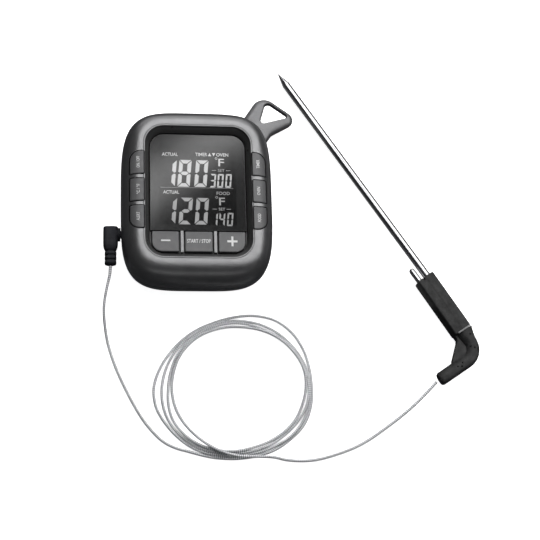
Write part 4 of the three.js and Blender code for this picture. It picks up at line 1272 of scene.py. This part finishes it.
# ---- floor and light ----
FLOOR_REACH, FLOOR_Z = 3, -.0003  # just under the object, so that nothing shares a plane
floor = new_object("floor", [(x * FLOOR_REACH, y * FLOOR_REACH, FLOOR_Z)
                             for x, y in ((-1, -1), (1, -1), (1, 1), (-1, 1))], [(0, 1, 2, 3)])
floor_look = Look("floor_paper", .9)
paper = floor_look.mix(floor_look.spread(floor_look.noise(240, 2), 0, 1), grey(.93), grey(.95))
floor_look.colour(paper)
floor_look.link(paper, floor_look.shader.inputs["Emission Color"])
floor_look.set("Emission Strength", .98)
floor.data.materials.append(floor_look.material)
floor.visible_glossy = False
floor.visible_diffuse = False

world = bpy.data.worlds.new("studio")
scene.world = world
world.use_nodes = True
world.node_tree.nodes["Background"].inputs["Color"].default_value = (.96, .98, 1.06, 1)
world.node_tree.nodes["Background"].inputs["Strength"].default_value = .06


def soft_box(name, place, width, height, radiance, toward=(0, 0, 0), roll=0.0):
    """A rectangle of soft light that faces a point; its strength is its radiance."""
    light = bpy.data.lights.new(name, "AREA")
    light.shape, light.size, light.size_y = "RECTANGLE", width, height
    light.energy = radiance * math.pi * width * height
    lamp = bpy.data.objects.new(name, light)
    scene.collection.objects.link(lamp)
    back = (Vector(place) - Vector(toward)).normalized()
    lamp.matrix_world = (Matrix.Translation(place) @ back.to_track_quat("Z", "Y").to_matrix().to_4x4()
                         @ Matrix.Rotation(math.radians(roll), 4, "Z"))
    return lamp


def level_box(name, left, front, right, rear, radiance):
    """A soft box that hangs level over the table and faces straight down."""
    middle = ((left + right) / 2, (front + rear) / 2, CEILING)
    soft_box(name, middle, right - left, rear - front, radiance, (middle[0], middle[1], 0))


# Four boxes leave an opening where the window would mirror them; a narrow strip in the
# opening gives the window its soft diagonal sheen.
CEILING = 1.2
GAP = dict(left=-.04, front=.30, right=.26, rear=.62)
level_box("left", -.46, .06, GAP["left"], 1.8, 4.4)
level_box("right", GAP["right"], -.1, 1.6, 1.6, 3.6)
level_box("front", GAP["left"], .06, GAP["right"], GAP["front"], 4.4)
level_box("rear", GAP["left"], GAP["rear"], GAP["right"], 1.8, 4.4)
soft_box("sheen", (.088, .487, CEILING), .26, .055, 5.5, (.088, .487, 0), 38)
soft_box("back_wall", (0, 1.9, .55), 2.4, 1.0, 1.6)
soft_box("front_strip", (0, -1.3, .75), 1.4, .3, .9)

# The floor doesn't show in reflections, so this stands for the pale table beside the rod.
beside = PROBE @ Vector((.072, 0, 0))
bounce = soft_box("table_bounce", (beside.x, beside.y, .00002), .150, .026, .28,
                  (beside.x, beside.y, -1))
bounce.matrix_world = (Matrix.Translation(bounce.location)
                       @ Matrix.Rotation(PROBE.to_euler().z, 4, "Z")
                       @ Matrix.Rotation(math.pi, 4, "X"))
bounce.visible_camera = False
